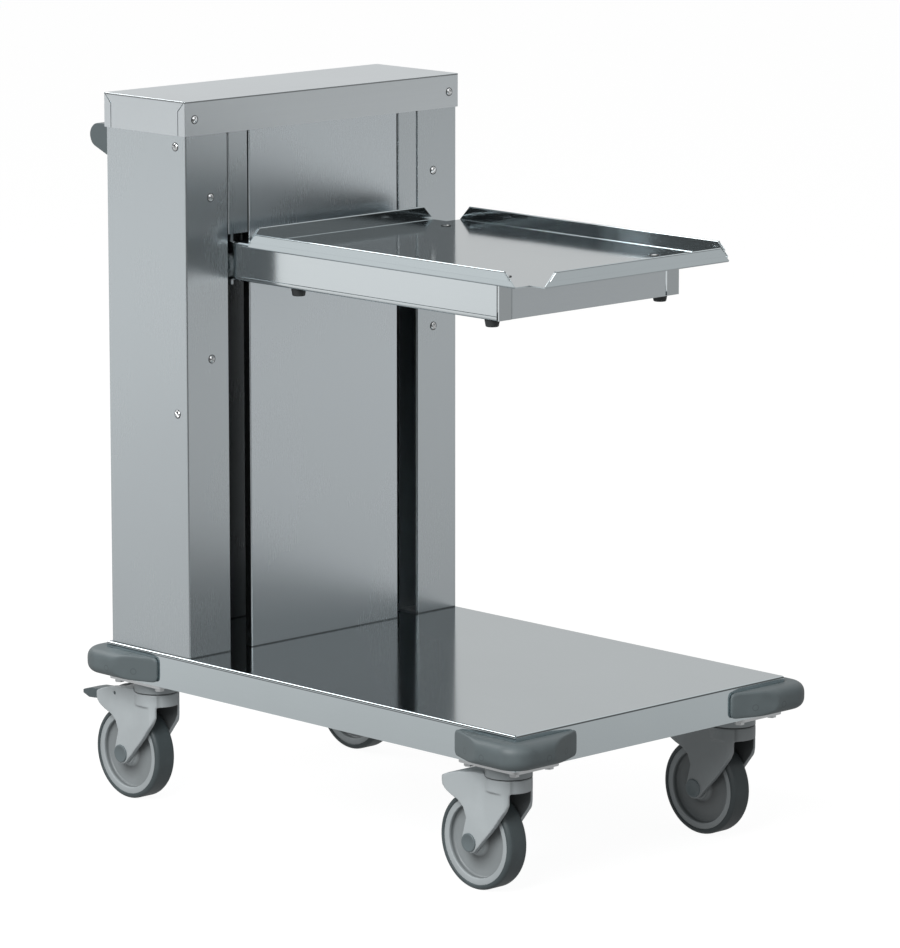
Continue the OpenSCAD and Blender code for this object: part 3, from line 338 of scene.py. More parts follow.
def cap_painted_shade(f):
    """Painted shade: a thin dark line just under the cap's folded edges."""
    return 1.0 - f.band(f.axes()[2], CAP_TOP - 0.0021, CAP_TOP - 0.0009) * LINE_DARK


def deck_painted_light(f):
    """Painted lighter skirts, with a painted shade line in the bend, over the front and under it on
    the sides.
    """
    z = f.axes()[2]
    nx, ny, nz = f.axes("NewGeometry", 1)
    skirt = 1.0 - f.ramp(nz, (0.55, 0), (0.75, 1))
    front_line = (f.band(z, DECK_TOP - 0.0027, DECK_TOP - 0.0010)
                  * f.ramp(abs(ny), (0.2, 0), (0.3, 1)))
    side_line = (f.band(z, DECK_TOP - 0.0046, DECK_TOP - 0.0034)
                 * f.ramp(abs(nx), (0.2, 0), (0.3, 1)))
    return (skirt * 0.38 + 1.0) * (1.0 - front_line * LINE_DARK - side_line * LINE_DARK)


print("cap top", round(CAP_TOP, 4), "deck top", round(DECK_TOP, 4))

# %% [markdown]
# The column's slots look black, because no light gets in between its sheets, so all faces behind
# the outer skin get painted shade, and the column is painted a little lighter low down. The
# tray's right flange and the front returns of the arms turn to the dark side of the room, so they
# get painted shade too, and the flange is painted lighter towards the front.

# %% Painted shade and light on the column, the tray and the arms
cover_low, cover_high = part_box("side_cover_right")
COLUMN_FRONT, COLUMN_REAR, COLUMN_SIDE = cover_low.y, cover_high.y, cover_high.x
ARM_INNER = -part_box("arm_left")[1].x
PER_4_MM = 250


def column_shade_and_joint(f):
    """Painted shade on the inner faces, painted light low down, and a dark joint line at the foot.
    """
    x, y, z = f.axes()
    foot = f.band(z, DECK_TOP - 0.0002, DECK_TOP + 0.0013, 0.0003)
    # painted light: the faces are a little lighter low down
    low = f.ramp(z, (0.22, 0.05), (0.50, 0))
    covered = (f.ramp((y - COLUMN_FRONT) * PER_4_MM, (0.18, 0), (0.30, 1))
               * f.ramp((COLUMN_SIDE - abs(x)) * PER_4_MM, (0.18, 0), (0.30, 1))
               * f.ramp((COLUMN_REAR - y) * PER_4_MM, (0.68, 0), (0.80, 1)))
    return (low + 1.0 - covered * 0.7) * (1.0 - foot * LINE_DARK)


def tray_painted_reflection(f):
    """Painted reflection: a dark right flange where it mirrors the dark side, painted lighter at
    the front.
    """
    x, y, _ = f.axes()
    inward = f.ramp(f.axes("NewGeometry", 1)[0] * -1.0, (0.3, 0), (0.5, 1))
    inner = inward * f.ramp(x, (0.15, 0), (0.16, 1))
    return 1.0 - inner * (f.ramp(y + 0.5, (0.28, 0), (0.38, 1)) * 1.25 - 0.6)


def arm_painted_shade(f):
    """Painted shade on the front returns, which face the dark side, each with a dark line at its
    inner edge.
    """
    front = f.ramp(f.axes("NewGeometry", 1)[1] * -1.0, (0.6, 0), (0.8, 1))
    line = f.band(abs(f.axes()[0]), ARM_INNER - 0.0002, ARM_INNER + 0.0017, 0.0003)
    return 1.0 - front * (line * 0.58 + 0.38)


print("column y", round(COLUMN_FRONT, 4), round(COLUMN_REAR, 4))

# %% [markdown]
# Each steel part has its own finish. The centre panel's steel is the covers' steel painted lighter
# for the light it catches, and the cap's steel, with its own grain, is painted lighter too. Grain
# runs upright on the covers, along the cart on the deck, the tray and the arms, and across it on
# the cap and the front panel.

# %% Steel finishes
UPRIGHT, ALONG, ACROSS = (30, 30, 0.6), (30, 0.6, 30), (0.6, 30, 30)
cover_steel = steel("cover_steel", (0.595, 0.645, 0.670), 0.27, UPRIGHT, grain=0.10,
                    depth=8e-7, light_and_marks=column_shade_and_joint)
# Painted light: the covers' steel painted lighter for the centre panel
panel_steel = steel("panel_steel", (0.695, 0.752, 0.785), 0.27, UPRIGHT, grain=0.10,
                    depth=8e-7, light_and_marks=column_shade_and_joint)
# Painted light: lighter than the covers' steel
cap_steel = steel("cap_steel", (0.745, 0.795, 0.820), 0.30, ACROSS, grain=0.3, depth=1e-5,
                  light_and_marks=cap_painted_shade)
arm_steel = steel("arm_steel", (0.665, 0.715, 0.735), 0.15, ALONG, grain=0.2, depth=6e-6,
                  light_and_marks=arm_painted_shade)
tray_front_steel = steel("tray_front_steel", (0.520, 0.560, 0.580), 0.24, ACROSS, grain=0.3)
deck_steel = steel("deck_steel", (0.545, 0.600, 0.620), 0.11, ALONG, grain=0.25, clouds=0.04,
                   depth=6e-6, light_and_marks=deck_painted_light)
tray_steel = steel("tray_steel", (0.540, 0.598, 0.620), 0.10, ALONG, grain=0.25, clouds=0.06,
                   depth=6e-6, light_and_marks=tray_painted_reflection)
screw_steel = steel("screw_steel", (0.80, 0.82, 0.83), 0.16, (8, 8, 8), grain=0.2)
zinc = steel("zinc_steel", (0.70, 0.725, 0.735), 0.30, (9, 9, 9), grain=0.3, clouds=0.14)
# Painted shade: a darker copy of the zinc for the parts inside the column, where little light comes
inner_zinc = steel("inner_zinc", (0.52, 0.57, 0.59), 0.38, (9, 9, 9), grain=0.3, clouds=0.14)
print("metals:", [m.name for m in bpy.data.materials][1:])

# %% [markdown]
# Moulded parts have a fine spark-eroded grain that breaks the highlight, and rubber that touches
# doors and floors is a little paler and duller where it is scuffed. Two noises give both.

# %% Plastic and rubber
GRAIN, GRAIN_DEPTH = 2200, 4e-5


def moulded(name, colour, roughness, scuff=0.12, light_and_marks=None):
    """Plastic or rubber with fine grain and paler, duller scuffs; painted shade and rings scale its
    colour.
    """
    f = material(name)
    speck = f.noise(GRAIN, 2)
    worn = f.ramp(f.noise(22, 5), (0.48, 0), (0.74, 1))
    pale_colour = tuple(min(1, c * (1 + scuff) + 0.02 * scuff) for c in colour)
    shade = f.tint(worn * 0.8 + speck * 0.2, colour, pale_colour)
    return f.surface(shade, light_and_marks and light_and_marks(f),
                     Roughness=worn * 0.08 + speck * 0.06 + (roughness - 0.04),
                     Normal=f.bump(speck, GRAIN_DEPTH, 0.4))


print("mouldings have a grain of", round(1 / GRAIN / MM, 2), "mm")

# %% [markdown]
# Little light comes between the cheeks of a fork or into the dish of a wheel, and the caster at
# the front right stands in the shade, so these get painted shade. On the bumpers faint darker rings
# are drawn over their screws.

# %% Painted shade on the casters, rings on the bumpers
CASTER_X = extent("caster_fork_front_right")[2][0]
DECK_MID, DECK_HALF = extent("base_deck")[2:]
RING_INSETS, RING_Z = (0.031, 0.072), extent("bumper_front_left")[2][2] - 0.004
PER_25_MM = 40


def far_shade(f):
    """Less light on the front right caster, which stands in the cart's own shade."""
    x, y, _ = f.axes()
    return 1.0 - f.ramp(x, (0.09, 0), (0.12, 1)) * f.ramp(y + 0.5, (0.20, 1), (0.30, 0)) * 0.42


def fork_painted_shade(f):
    """Darker cheeks inside the fork, where little light comes."""
    x, nx = f.axes()[0], f.axes("NewGeometry", 1)[0]
    inside = f.ramp(abs(abs(x) - CASTER_X) * PER_25_MM, (0.76, 1), (0.82, 0))
    return (1.0 - inside * f.ramp(abs(nx), (0.5, 0), (0.8, 1)) * 0.72) * far_shade(f)


def rim_painted_shade(f):
    """Painted shade in the dish between the wheel's outer ring and its hub."""
    off = abs(abs(f.axes()[0]) - CASTER_X) * PER_25_MM
    return f.ramp(off, (0.22, 0.66), (0.40, 0.42), (0.53, 1)) * far_shade(f)


def bumper_marks(f):
    """Faint darker rings over the bumper's screws."""
    x, y, z = f.axes()
    nx, ny, _ = f.axes("NewGeometry", 1)
    up = (z - RING_Z) * (z - RING_Z)
    rings = 0.0
    for along, outward, half in ((abs(x), ny, DECK_HALF[0]),
                                 (abs(y - DECK_MID[1]), nx, DECK_HALF[1])):
        for inset in RING_INSETS:
            off = along - (half - inset)
            ring = f.band((off * off + up).math("SQRT"), 0.0034, 0.0042, 0.0005)
            rings = ring * f.ramp(abs(outward), (0.5, 0), (0.6, 1)) + rings
    return 1.0 - rings * 0.22


print("casters at x", CASTER_X.round(4), "rings at z", RING_Z.round(4))

# %% [markdown]
# Every plastic and rubber is a blue-green grey: forks and wheels are pale, bumpers and handle
# dark, tyres darker, buffers black.

# %% Plastic and rubber finishes
fork_plastic = moulded("fork_plastic", (0.45, 0.490, 0.505), 0.42, light_and_marks=fork_painted_shade)
rim_plastic = moulded("rim_plastic", (0.40, 0.437, 0.450), 0.40, light_and_marks=rim_painted_shade)
bumper_rubber = moulded("bumper_rubber", (0.108, 0.133, 0.140), 0.48, scuff=0.25,
                        light_and_marks=bumper_marks)
tyre_rubber = moulded("tyre_rubber", (0.060, 0.077, 0.082), 0.50, scuff=0.35, light_and_marks=far_shade)
cap_plastic = moulded("cap_plastic", (0.140, 0.170, 0.180), 0.45)
handle_plastic = moulded("handle_plastic", (0.095, 0.118, 0.125), 0.38)
pedal_plastic = moulded("pedal_plastic", (0.085, 0.108, 0.115), 0.42)
black_rubber = moulded("black_rubber", (0.018, 0.021, 0.022), 0.55, scuff=0.5)
roller_plastic = moulded("roller_plastic", (0.78, 0.79, 0.79), 0.35)
print("plastics:", sum("plastic" in m.name for m in bpy.data.materials))

# %% [markdown]
# Each caster's zinc plate and painted bearing cup are one solid in the CAD, so height decides
# between the two, and a dark band marks the gap of the swivel.

# %% Caster cups
CUP_LOW, CUP_HIGH = 0.1515, 0.1655
f = material("cup_finish")
z = f.axes()[2]
plate = f.ramp((z - CUP_HIGH) * 1000 + 0.5, (0.0, 0), (1.0, 1))
dark = 1.0 - f.band(z, CUP_LOW - 0.001, CUP_LOW + 0.0008) * 0.9
cloud = f.noise(60, 3)
cup_paint = f.surface(f.tint(plate, (0.34, 0.375, 0.388), (0.74, 0.76, 0.77)),
                      dark * (cloud * 0.1 + 0.95), Metallic=plate, Roughness=cloud * 0.1 + 0.30)
print("finishes:", len(bpy.data.materials))

# %% [markdown]
# The record gives each CAD node a material slot, and the node gets that slot's finish, so that
# whatever isn't dressed later still looks right.

# %% Finish of each material slot
SLOT_FINISH = dict(
    stainless_steel=cover_steel, polished_steel=tray_steel, bright_steel=screw_steel,
    zinc_steel=zinc, grey_rubber=bumper_rubber, black_rubber=black_rubber,
    tyre_rubber=tyre_rubber, pale_plastic=fork_plastic, rim_plastic=rim_plastic,
    cap_plastic=cap_plastic, handle_plastic=handle_plastic, pedal_plastic=pedal_plastic,
    roller_plastic=roller_plastic)
node_slot = {s["node"]: s["material_slot"] for s in frame["record"]["subparts"]}
node_body = {n: b for b, nodes in frame["record"]["behaviour"]["bodies"].items() for n in nodes}
for node, made in frame["nodes"].items():
    made.data.materials.clear()
    made.data.materials.append(SLOT_FINISH[node_slot[node]])
print("slots:", sorted(set(node_slot.values())))

# %% [markdown]
# ## Surfaces from arrays
# Most pieces are lists of grids: arrays of points with one index along the piece and one across
# it, joined into quads. An object stays at the origin, because the place is in its points.

# %% Mesh helpers
OWN_GAP, CAD_GAP = 0.000002, 0.000005


def points_at(*axes):
    """Points whose coordinates are numbers or arrays that fit each other."""
    return np.stack(np.broadcast_arrays(*axes), -1)


def grid(points, wrap_u=False, wrap_v=False):
    """(points, quads) of an array of points [u, v, 3]; a wrapped direction closes on itself."""
    nu, nv = points.shape[:2]
    u = np.arange(nu if wrap_u else nu - 1)[:, None]
    v = np.arange(nv if wrap_v else nv - 1)[None, :]
    u2, v2 = (u + 1) % nu, (v + 1) % nv
    quads = np.stack([u * nv + v, u2 * nv + v, u2 * nv + v2, u * nv + v2], -1).reshape(-1, 4)
    return points.reshape(-1, 3), quads.tolist()


def flat(points):
    """(points, face) of one flat polygon."""
    points = np.asarray(points, float)
    return points, [list(range(len(points)))]


def welded(mesh, gap):
    """An editable copy of a mesh, in which points closer than gap are merged."""
    work = bmesh.new()
    work.from_mesh(mesh)
    bmesh.ops.remove_doubles(work, verts=work.verts, dist=gap)
    return work


def joined(name, parts):
    """A mesh of all parts, and an editable copy of it in which equal points are merged."""
    mesh = bpy.data.meshes.new(name)
    starts = np.cumsum([0] + [len(p) for p, _ in parts])
    mesh.from_pydata(np.concatenate([p for p, _ in parts]).tolist(), [],
                     [[i + int(s) for i in face] for s, (_, faces) in zip(starts, parts)
                      for face in faces])
    return mesh, welded(mesh, OWN_GAP)


def build(name, parts, finish, replaced=(), body=None, smooth=35):
    """One closed object of several parts, with its normals outwards."""
    mesh, work = joined(name, parts)
    bmesh.ops.dissolve_degenerate(work, edges=work.edges, dist=0.000001)
    bmesh.ops.recalc_face_normals(work, faces=work.faces)
    work.to_mesh(mesh)
    work.free()
    return settle(name, mesh, finish, replaced, body, smooth)


def settle(name, mesh, finish, replaced=(), body=None, smooth=35):
    """The object of a mesh, smooth up to an angle, on its CAD node's body."""
    body = body or node_body[replaced[0]]
    mesh.polygons.foreach_set("use_smooth", np.ones(len(mesh.polygons), bool))
    mesh.set_sharp_from_angle(angle=np.radians(smooth))
    mesh.materials.clear()
    mesh.materials.append(finish)
    made = placed(name, mesh)
    if replaced:
        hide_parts(*replaced)
    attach(made, body)
    return made


print("a grid of 3 x 4 points has", len(grid(np.zeros((3, 4, 3)))[1]), "quads")

# %% [markdown]
# Some pieces start from the CAD's triangles: flat faces are merged, and modifiers are baked into a
# plain mesh. A node of many solids, such as a set of screws, is taken apart by walking its edges.

# %% Shapes from the CAD
def weight_normals(made):
    """Lets large flat faces set the normals along their edges, so that they shade flat."""
    made.modifiers.new("normals", "WEIGHTED_NORMAL").keep_sharp = True
    return made


def baked(source, *modifiers):
    """The mesh of an object after modifiers, given as (type, settings)."""
    work = placed("work", source)
    for kind, settings in modifiers:
        made = work.modifiers.new(kind, kind)
        for key, value in settings.items():
            setattr(made, key, value)
    graph = bpy.context.evaluated_depsgraph_get()
    mesh = bpy.data.meshes.new_from_object(work.evaluated_get(graph), depsgraph=graph)
    bpy.data.objects.remove(work)
    return mesh


def cad_copy(node):
    """A CAD node's shape as one merged mesh with its flat faces whole."""
    work = welded(frame["nodes"][node].data, CAD_GAP)
    bmesh.ops.dissolve_limit(work, angle_limit=np.radians(0.5), verts=work.verts,
                             edges=work.edges)
    mesh = bpy.data.meshes.new(node)
    work.to_mesh(mesh)
    work.free()
    return mesh


def pieces_of(node):
    """The points of each separate solid of a node, as arrays."""
    work = welded(frame["nodes"][node].data, CAD_GAP)
    found, seen = [], set()
    for first in work.verts:
        group = [first] if first not in seen else []
        for v in group:
            seen.add(v)
            near = {e.other_vert(v) for e in v.link_edges} - seen
            seen |= near
            group += near
        if group:
            found.append(np.array([v.co[:] for v in group]))
    work.free()
    return found


print("cover screws:", len(pieces_of("cover_screws")), "solids")

# %% [markdown]
# A sheet-metal or machined part gets a narrow bevel, which catches the light as a broken edge does.
# A moulded part is remeshed with small voxels and smoothed, which rounds all its edges alike.

# %% Edged and moulded pieces
SHARP = np.radians(50)


def edged(name, node, finish, width):
    """The CAD node with a narrow bevel on its edges, width in millimetres."""
    mesh = baked(cad_copy(node),
                 ("BEVEL", dict(width=width * MM, segments=2, angle_limit=SHARP)))
    return weight_normals(settle(name, mesh, finish, [node]))


def moulded_piece(name, node, finish, voxel, passes):
    """The CAD node with its edges rounded by about voxel millimetres times the root of passes."""
    mesh = baked(cad_copy(node), ("REMESH", dict(mode="VOXEL", voxel_size=voxel * MM)),
                 ("SMOOTH", dict(factor=0.5, iterations=passes)))
    return settle(name, mesh, finish, [node], smooth=180)


print("bevel over", round(np.degrees(SHARP)), "degrees")

# %% [markdown]
# Turned parts and bends are drawn as profiles, which are points in a plane, made of straight runs
# and arcs. A lathe turns them about an axis.

# %% Profiles
def arc(centre, radius, start, stop, n=6):
    """Points on an arc in a plane, angles in degrees."""
    a = np.radians(np.linspace(start, stop, n + 1))
    return points_at(centre[0] + radius * np.cos(a), centre[1] + radius * np.sin(a))


def lathe(profile, centre, axis, n):
    """A closed profile of (radius, height) turned about the x or z axis through centre."""
    a = np.linspace(0, 2 * np.pi, n, endpoint=False)[:, None]
    r, h = profile.T
    c, s = r * np.cos(a), r * np.sin(a)
    points = points_at(h, c, s) if axis == "x" else points_at(c, s, h)
    return grid(points + centre, wrap_u=True, wrap_v=True)


def mirrored(profile):
    """A profile from the outer to the inner middle, closed by its mirror."""
    return np.concatenate([profile, profile[::-1] * (1, -1)])


print("a quarter circle has", len(arc((0, 0), 1, 0, 90)), "points")

# %% [markdown]
# ## Wheels
# Each wheel is a pale plastic body with a raised outer ring, a dished web and a long hub, and a
# dark tyre with rounded shoulders. All of it is turned about the axle, so a profile says it all.

# %% Wheels and axles
WHEEL_R, TYRE_HALF_W, SHOULDER = 0.0625, 0.016, 0.0052
RING_R, RING_IN, RING_HALF_W = 0.0565, 0.0478, 0.0142
AXLE_BORE, HUB_R, HUB_HALF_W = 0.00405, 0.0150, 0.0174

shoulder = arc((WHEEL_R - SHOULDER, TYRE_HALF_W - SHOULDER), SHOULDER, 0, 78, 8)
tyre_profile = mirrored(np.concatenate([
    [(WHEEL_R, 0)], [(WHEEL_R, 0.006)], shoulder,
    arc((RING_R + 0.0004, TYRE_HALF_W - 0.0014), 0.0011, 70, 180, 5), [(RING_R - 0.0006, 0.0136)],
    [(RING_R - 0.0006, 0)]]))
rim_profile = mirrored(np.concatenate([
    [(RING_R, 0), (RING_R, RING_HALF_W - 0.0008)],
    arc((RING_R - 0.0008, RING_HALF_W - 0.0008), 0.0008, 0, 90, 4),
    arc((RING_IN + 0.0012, RING_HALF_W - 0.0012), 0.0012, 90, 180, 5),
    [(RING_IN - 0.0004, 0.0086)], arc((RING_IN - 0.0030, 0.0082), 0.0026, 0, -90, 5),
    [(0.0418, 0.0054), (0.0405, 0.0050), (0.0345, 0.0052), (0.0270, 0.0066), (0.0215, 0.0090),
     (0.0180, 0.0124)],
    arc((HUB_R - 0.0004, HUB_HALF_W - 0.0014), 0.0014, 0, 90, 4),
    [(AXLE_BORE + 0.0006, HUB_HALF_W), (AXLE_BORE, HUB_HALF_W - 0.0006), (AXLE_BORE, 0)]]))

for corner in CORNERS:
    centre = extent("wheel_tyre_" + corner)[2]
    reach, _, cap_r = extent("caster_axle_" + corner)[3]
    pin = np.concatenate([[(0.0, reach - 0.0009), (cap_r - 0.0042, reach - 0.0009)],
                          [(cap_r - 0.0032, reach - 0.0003)],
                          arc((cap_r - 0.0012, reach - 0.0012), 0.0012, 90, 0, 5),
                          [(cap_r, reach - 0.002), (0.004, reach - 0.002), (0.004, 0)]])
    for part, node, profile, finish, n in (
            ("tyre_", "wheel_tyre_", tyre_profile, tyre_rubber, 128),
            ("rim_", "wheel_rim_", rim_profile, rim_plastic, 128),
            ("axle_", "caster_axle_", mirrored(pin), cap_plastic, 64)):
        build(part + corner, [lathe(profile, centre, "x", n)], finish, [node + corner])
print("last wheel at", centre.round(4))

# %% [markdown]
# ## Caster forks, pedals, bumpers and handle brackets
# These are mouldings, so they come from the CAD solids by remeshing, which softens all edges at
# once. The push handle is a plain tube with rounded ends, so it is turned like the wheels.

# %% Mouldings
for corner in CORNERS:
    moulded_piece("fork_" + corner, "caster_fork_" + corner, fork_plastic, 1.0, 14)
    moulded_piece("bumper_dressed_" + corner, "bumper_" + corner, bumper_rubber, 1.3, 24)
for side in ("left", "right"):
    moulded_piece("pedal_" + side, "brake_pedal_" + side, pedal_plastic, 0.7, 6)
    moulded_piece("bracket_" + side, "handle_bracket_" + side, handle_plastic, 0.8, 6)

TUBE_R, TUBE_EDGE = 0.0125, 0.001
low, high, centre, half = extent("handle_tube")
end = arc((2 * half[2] - TUBE_R - TUBE_EDGE, high[0] - TUBE_EDGE), TUBE_EDGE, 90, 0, 3)
tube_profile = np.concatenate([[(0.0, high[0])], end, [(TUBE_R, 0)]])
build("push_tube", [lathe(mirrored(tube_profile), centre, "x", 64)], handle_plastic,
      ["handle_tube"])
print("mouldings:", 3 * len(CORNERS), "push tube", (2 * half[0]).round(3), "m")

# %% [markdown]
# ## Base deck
# The deck is one sheet folded down on four sides. The folds stop a little short of the corner, so
# an open mitre slash shows there. A fold's profile runs from the top to the skirt's lower edge, and
# the side is shortened by the profile's distance from the outer face.

# %% Folded lid
BOTH = np.array((-1, 1))


def fold_profile(radius, drop):
    """(distance inside the outer face, depth below the top) from the flat top down the skirt."""
    return np.concatenate([arc((radius, radius), radius, 270, 180, 8), [(0.0, drop)]])


def turned(points, turn, middle):
    """Points turned about z by a number of quarter turns and moved to the middle."""
    c, s = [(1, 0), (0, 1), (-1, 0), (0, -1)][turn]
    x, y = points[..., 0] * c - points[..., 1] * s, points[..., 0] * s + points[..., 1] * c
    return points_at(x + middle[0], y + middle[1], points[..., 2])


def thicken(name, parts, finish, replaced, thickness, bevel=0.0, smooth=35):
    """An open sheet given by its outer face, made solid inwards."""
    raw, work = joined(name, parts)
    bmesh.ops.recalc_face_normals(work, faces=work.faces)
    highest = max(work.faces, key=lambda f: f.calc_center_median().z)
    if highest.normal.z < 0:
        bmesh.ops.reverse_faces(work, faces=work.faces)
    work.to_mesh(raw)
    work.free()
    steps = [("SOLIDIFY", dict(thickness=thickness, offset=-1, use_even_offset=True))]
    if bevel:
        steps.append(("BEVEL", dict(width=bevel, segments=2, angle_limit=SHARP)))
    return weight_normals(settle(name, baked(raw, *steps), finish, replaced, smooth=smooth))


print("a fold's profile has", len(fold_profile(0.003, 0.04)), "points")

# %% [markdown]
# In the CAD the deck is a top and four skirts, for simple collision shapes. One sheet takes the
# place of all five.

# %% Base deck
DECK_BEND, DECK_SHEET, MITRE_GAP = 0.003, 0.0015, 0.0011
DECK_NODES = ["base_deck", "deck_skirt_left", "deck_skirt_right", "deck_skirt_front",
              "deck_skirt_rear"]
low, high, mid, half = extent(np.array([c[:] for node in DECK_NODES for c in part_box(node)]))
inset, depth = np.split(fold_profile(DECK_BEND, high[2] - low[2]), 2, axis=1)
sides = [turned(points_at((half[t % 2] - inset - MITRE_GAP) * BOTH, inset - half[1 - t % 2],
                          high[2] - depth), t, mid) for t in range(4)]
deck_parts = [grid(s) for s in sides] + [flat(np.concatenate([s[0] for s in sides]))]
thicken("deck_sheet", deck_parts, deck_steel, DECK_NODES, DECK_SHEET)
print("deck", (2 * half[:2]).round(3), "m")

# %% [markdown]
# ## Column cap
# The cap is a lid whose front and rear flanges wrap round the corners as short tabs. Each tab meets
# the side flange in a seam that runs down at 45 degrees from the corner and then upright.

# %% Column cap
CAP_BEND, CAP_SHEET, TAB, SEAM = 0.0009, 0.0015, 0.0135, 0.0006
low, high, mid, (half_x, half_y, half_z) = extent("column_cap")
r, drop, top = CAP_BEND, 2 * half_z, high[2]
inset, depth = np.split(fold_profile(r, drop), 2, axis=1)
turn, rise = np.radians(np.linspace(0, 90, 9))[:, None], np.radians(np.linspace(0, 90, 9))
flat_x, flat_y = half_x - r, half_y - r
top_corners = [(-flat_x, -flat_y), (flat_x, -flat_y), (flat_x, flat_y), (-flat_x, flat_y)]
cap_parts = [flat([(x + mid[0], y + mid[1], top) for x, y in top_corners])]
for sy in BOTH:
    cap_parts.append(grid(points_at(mid[0] + flat_x * BOTH, mid[1] + sy * (half_y - inset),
                                    top - depth)))
    for sx in BOTH:
        ball = points_at(mid[0] + sx * (flat_x + r * np.sin(turn) * np.cos(rise)),
                         mid[1] + sy * (flat_y + r * np.cos(turn) * np.cos(rise)),
                         top - r + r * np.sin(rise))
        bend = points_at(mid[0] + sx * (flat_x + r * np.sin(turn)),
                         mid[1] + sy * (flat_y + r * np.cos(turn)), (low[2], top - r))
        x, y = mid[0] + sx * half_x, mid[1] + sy * half_y
        tab = [(r, r), (TAB - SEAM, TAB), (TAB - SEAM, drop), (r, drop)]
        cap_parts += [grid(ball), grid(bend),
                      flat([(x, y - sy * along, top - down) for along, down in tab])]
for sx in BOTH:
    x, top_edge = mid[0] + sx * half_x, half_y - r - 2 * SEAM
    outline = [(top_edge, r), (half_y - TAB - SEAM, TAB - SEAM), (half_y - TAB - SEAM, drop)]
    outline = outline + [(-y, d) for y, d in outline[::-1]]
    cap_parts.append(flat([(x, mid[1] + y, top - d) for y, d in outline]))
    cap_parts.append(grid(points_at(mid[0] + sx * (half_x - inset[:-1]),
                                    mid[1] + top_edge * BOTH, top - depth[:-1])))
thicken("cap_sheet", cap_parts, cap_steel, ["column_cap"], CAP_SHEET, smooth=25)
print("cap of", len(cap_parts), "faces and bends")

# %% [markdown]
# ## Bent sheets
# Covers, panels and arms are strips bent along straight lines. Each corner of the outer face's
# path is rounded by its bend, the wall is offset inwards, and the outline is carried straight on.

# %% Bent paths
def unit(vectors):
    """Vectors brought to length 1."""
    return vectors / np.linalg.norm(vectors, axis=-1, keepdims=True)


def bent(corners, radius):
    """A path through corners, [k, 2], each inner one rounded by an arc of that radius."""
    corners = np.asarray(corners, float)
    points = [corners[:1]]
    for before, at, after in zip(corners[:-2], corners[1:-1], corners[2:]):
        into, out = unit(at - before), unit(after - at)
        side = np.sign(into[0] * out[1] - into[1] * out[0])
        angle = np.arccos(np.clip(into @ out, -1, 1))
        normal = np.array([-into[1], into[0]]) * side
        centre = at - into * radius * np.tan(angle / 2) + normal * radius
        start = np.degrees(np.arctan2(*-normal[::-1]))
        points.append(arc(centre, radius, start, start + side * np.degrees(angle)))
    return np.concatenate(points + [corners[-1:]])


def wall(path, thickness):
    """The closed outline of a path thickened to its left."""
    along = unit(np.gradient(path, axis=0))
    along[[0, -1]] = unit(path[[1, -1]] - path[[0, -2]])
    inner = path + along[:, ::-1] * (-1, 1) * thickness
    return np.concatenate([path, inner[::-1]])


def carried(outline, axis, start, stop):
    """Grids of a closed outline carried along axis from start to stop, with both ends closed."""
    order, k = {"y": (0, 2, 1), "z": (0, 1, 2)}[axis], len(outline) // 2

    def at(level):
        return np.insert(outline, 2, level, axis=1)[:, order]

    caps = [grid(np.stack([at(level)[:k], at(level)[k:][::-1]])) for level in (start, stop)]
    return [grid(np.stack([at(start), at(stop)]), wrap_v=True), *caps]


print("points of one bend:", len(bent([(0, 0), (1, 0), (1, 1)], 0.1)))

# %% [markdown]
# A side cover turns round the front of the column as a cheek and round the back as a flange. The
# centre panel and the two strips that close the arm slots turn inwards at both sides, so thin dark
# joints show between them.

# %% Column covers
def sheet_piece(name, node, corners, radius, thickness, finish):
    """An upright bent sheet that stands for a CAD node, with a narrow bevel on its cut edges."""
    low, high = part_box(node)
    made = build(name, carried(wall(bent(corners, radius), thickness), "z", low.z, high.z),
                 finish, [node], smooth=40)
    edge = made.modifiers.new("edge", "BEVEL")
    edge.width, edge.segments, edge.angle_limit = SHEET_EDGE, 2, SHARP
    return weight_normals(made)


COVER_SHEET, COVER_BEND, SHEET_EDGE = 0.0015, 0.0025, 0.00025
CHEEK_EDGE, REAR_EDGE = 0.1705, 0.2000
for side, s in (("left", -1), ("right", 1)):
    node = "side_cover_" + side
    low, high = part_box(node)
    far = high.x if s > 0 else low.x
    path = [(s * CHEEK_EDGE, low.y), (far, low.y), (far, high.y), (s * REAR_EDGE, high.y)]
    sheet_piece("cover_" + side, node, path, COVER_BEND, s * COVER_SHEET, cover_steel)

PANEL_BEND, STRIP_BACK, STRIP_FOLD = 0.0018, 0.0001, 0.007
low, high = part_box("centre_panel")
path = [(low.x, high.y), (low.x, low.y), (high.x, low.y), (high.x, high.y)]
sheet_piece("panel_centre", "centre_panel", path, PANEL_BEND, COVER_SHEET, panel_steel)
front = low.y + STRIP_BACK
parts = []
for points in pieces_of("slot_strips"):
    low, high = points.min(0), points.max(0)
    path = bent([(low[0], front + STRIP_FOLD), (low[0], front), (high[0], front),
                 (high[0], front + STRIP_FOLD)], PANEL_BEND)
    parts += carried(wall(path, COVER_SHEET), "z", low[2], high[2])
weight_normals(build("strips_over_slots", parts, cover_steel, ["slot_strips"]))
edged("dressed_rear_panel", "rear_panel", cover_steel, 0.25)
print("slot strips:", len(parts) // 3)

# %% [markdown]
# ## Tray plate
# The plate is a cross-shaped floor with a flange on each side, whose edge is folded over outwards
# as a flat hem. A flange gets shorter by as much as it rises, so its ends are cut at 45 degrees.
# The path is the sheet's outer face, which is the inside of the hem's fold.

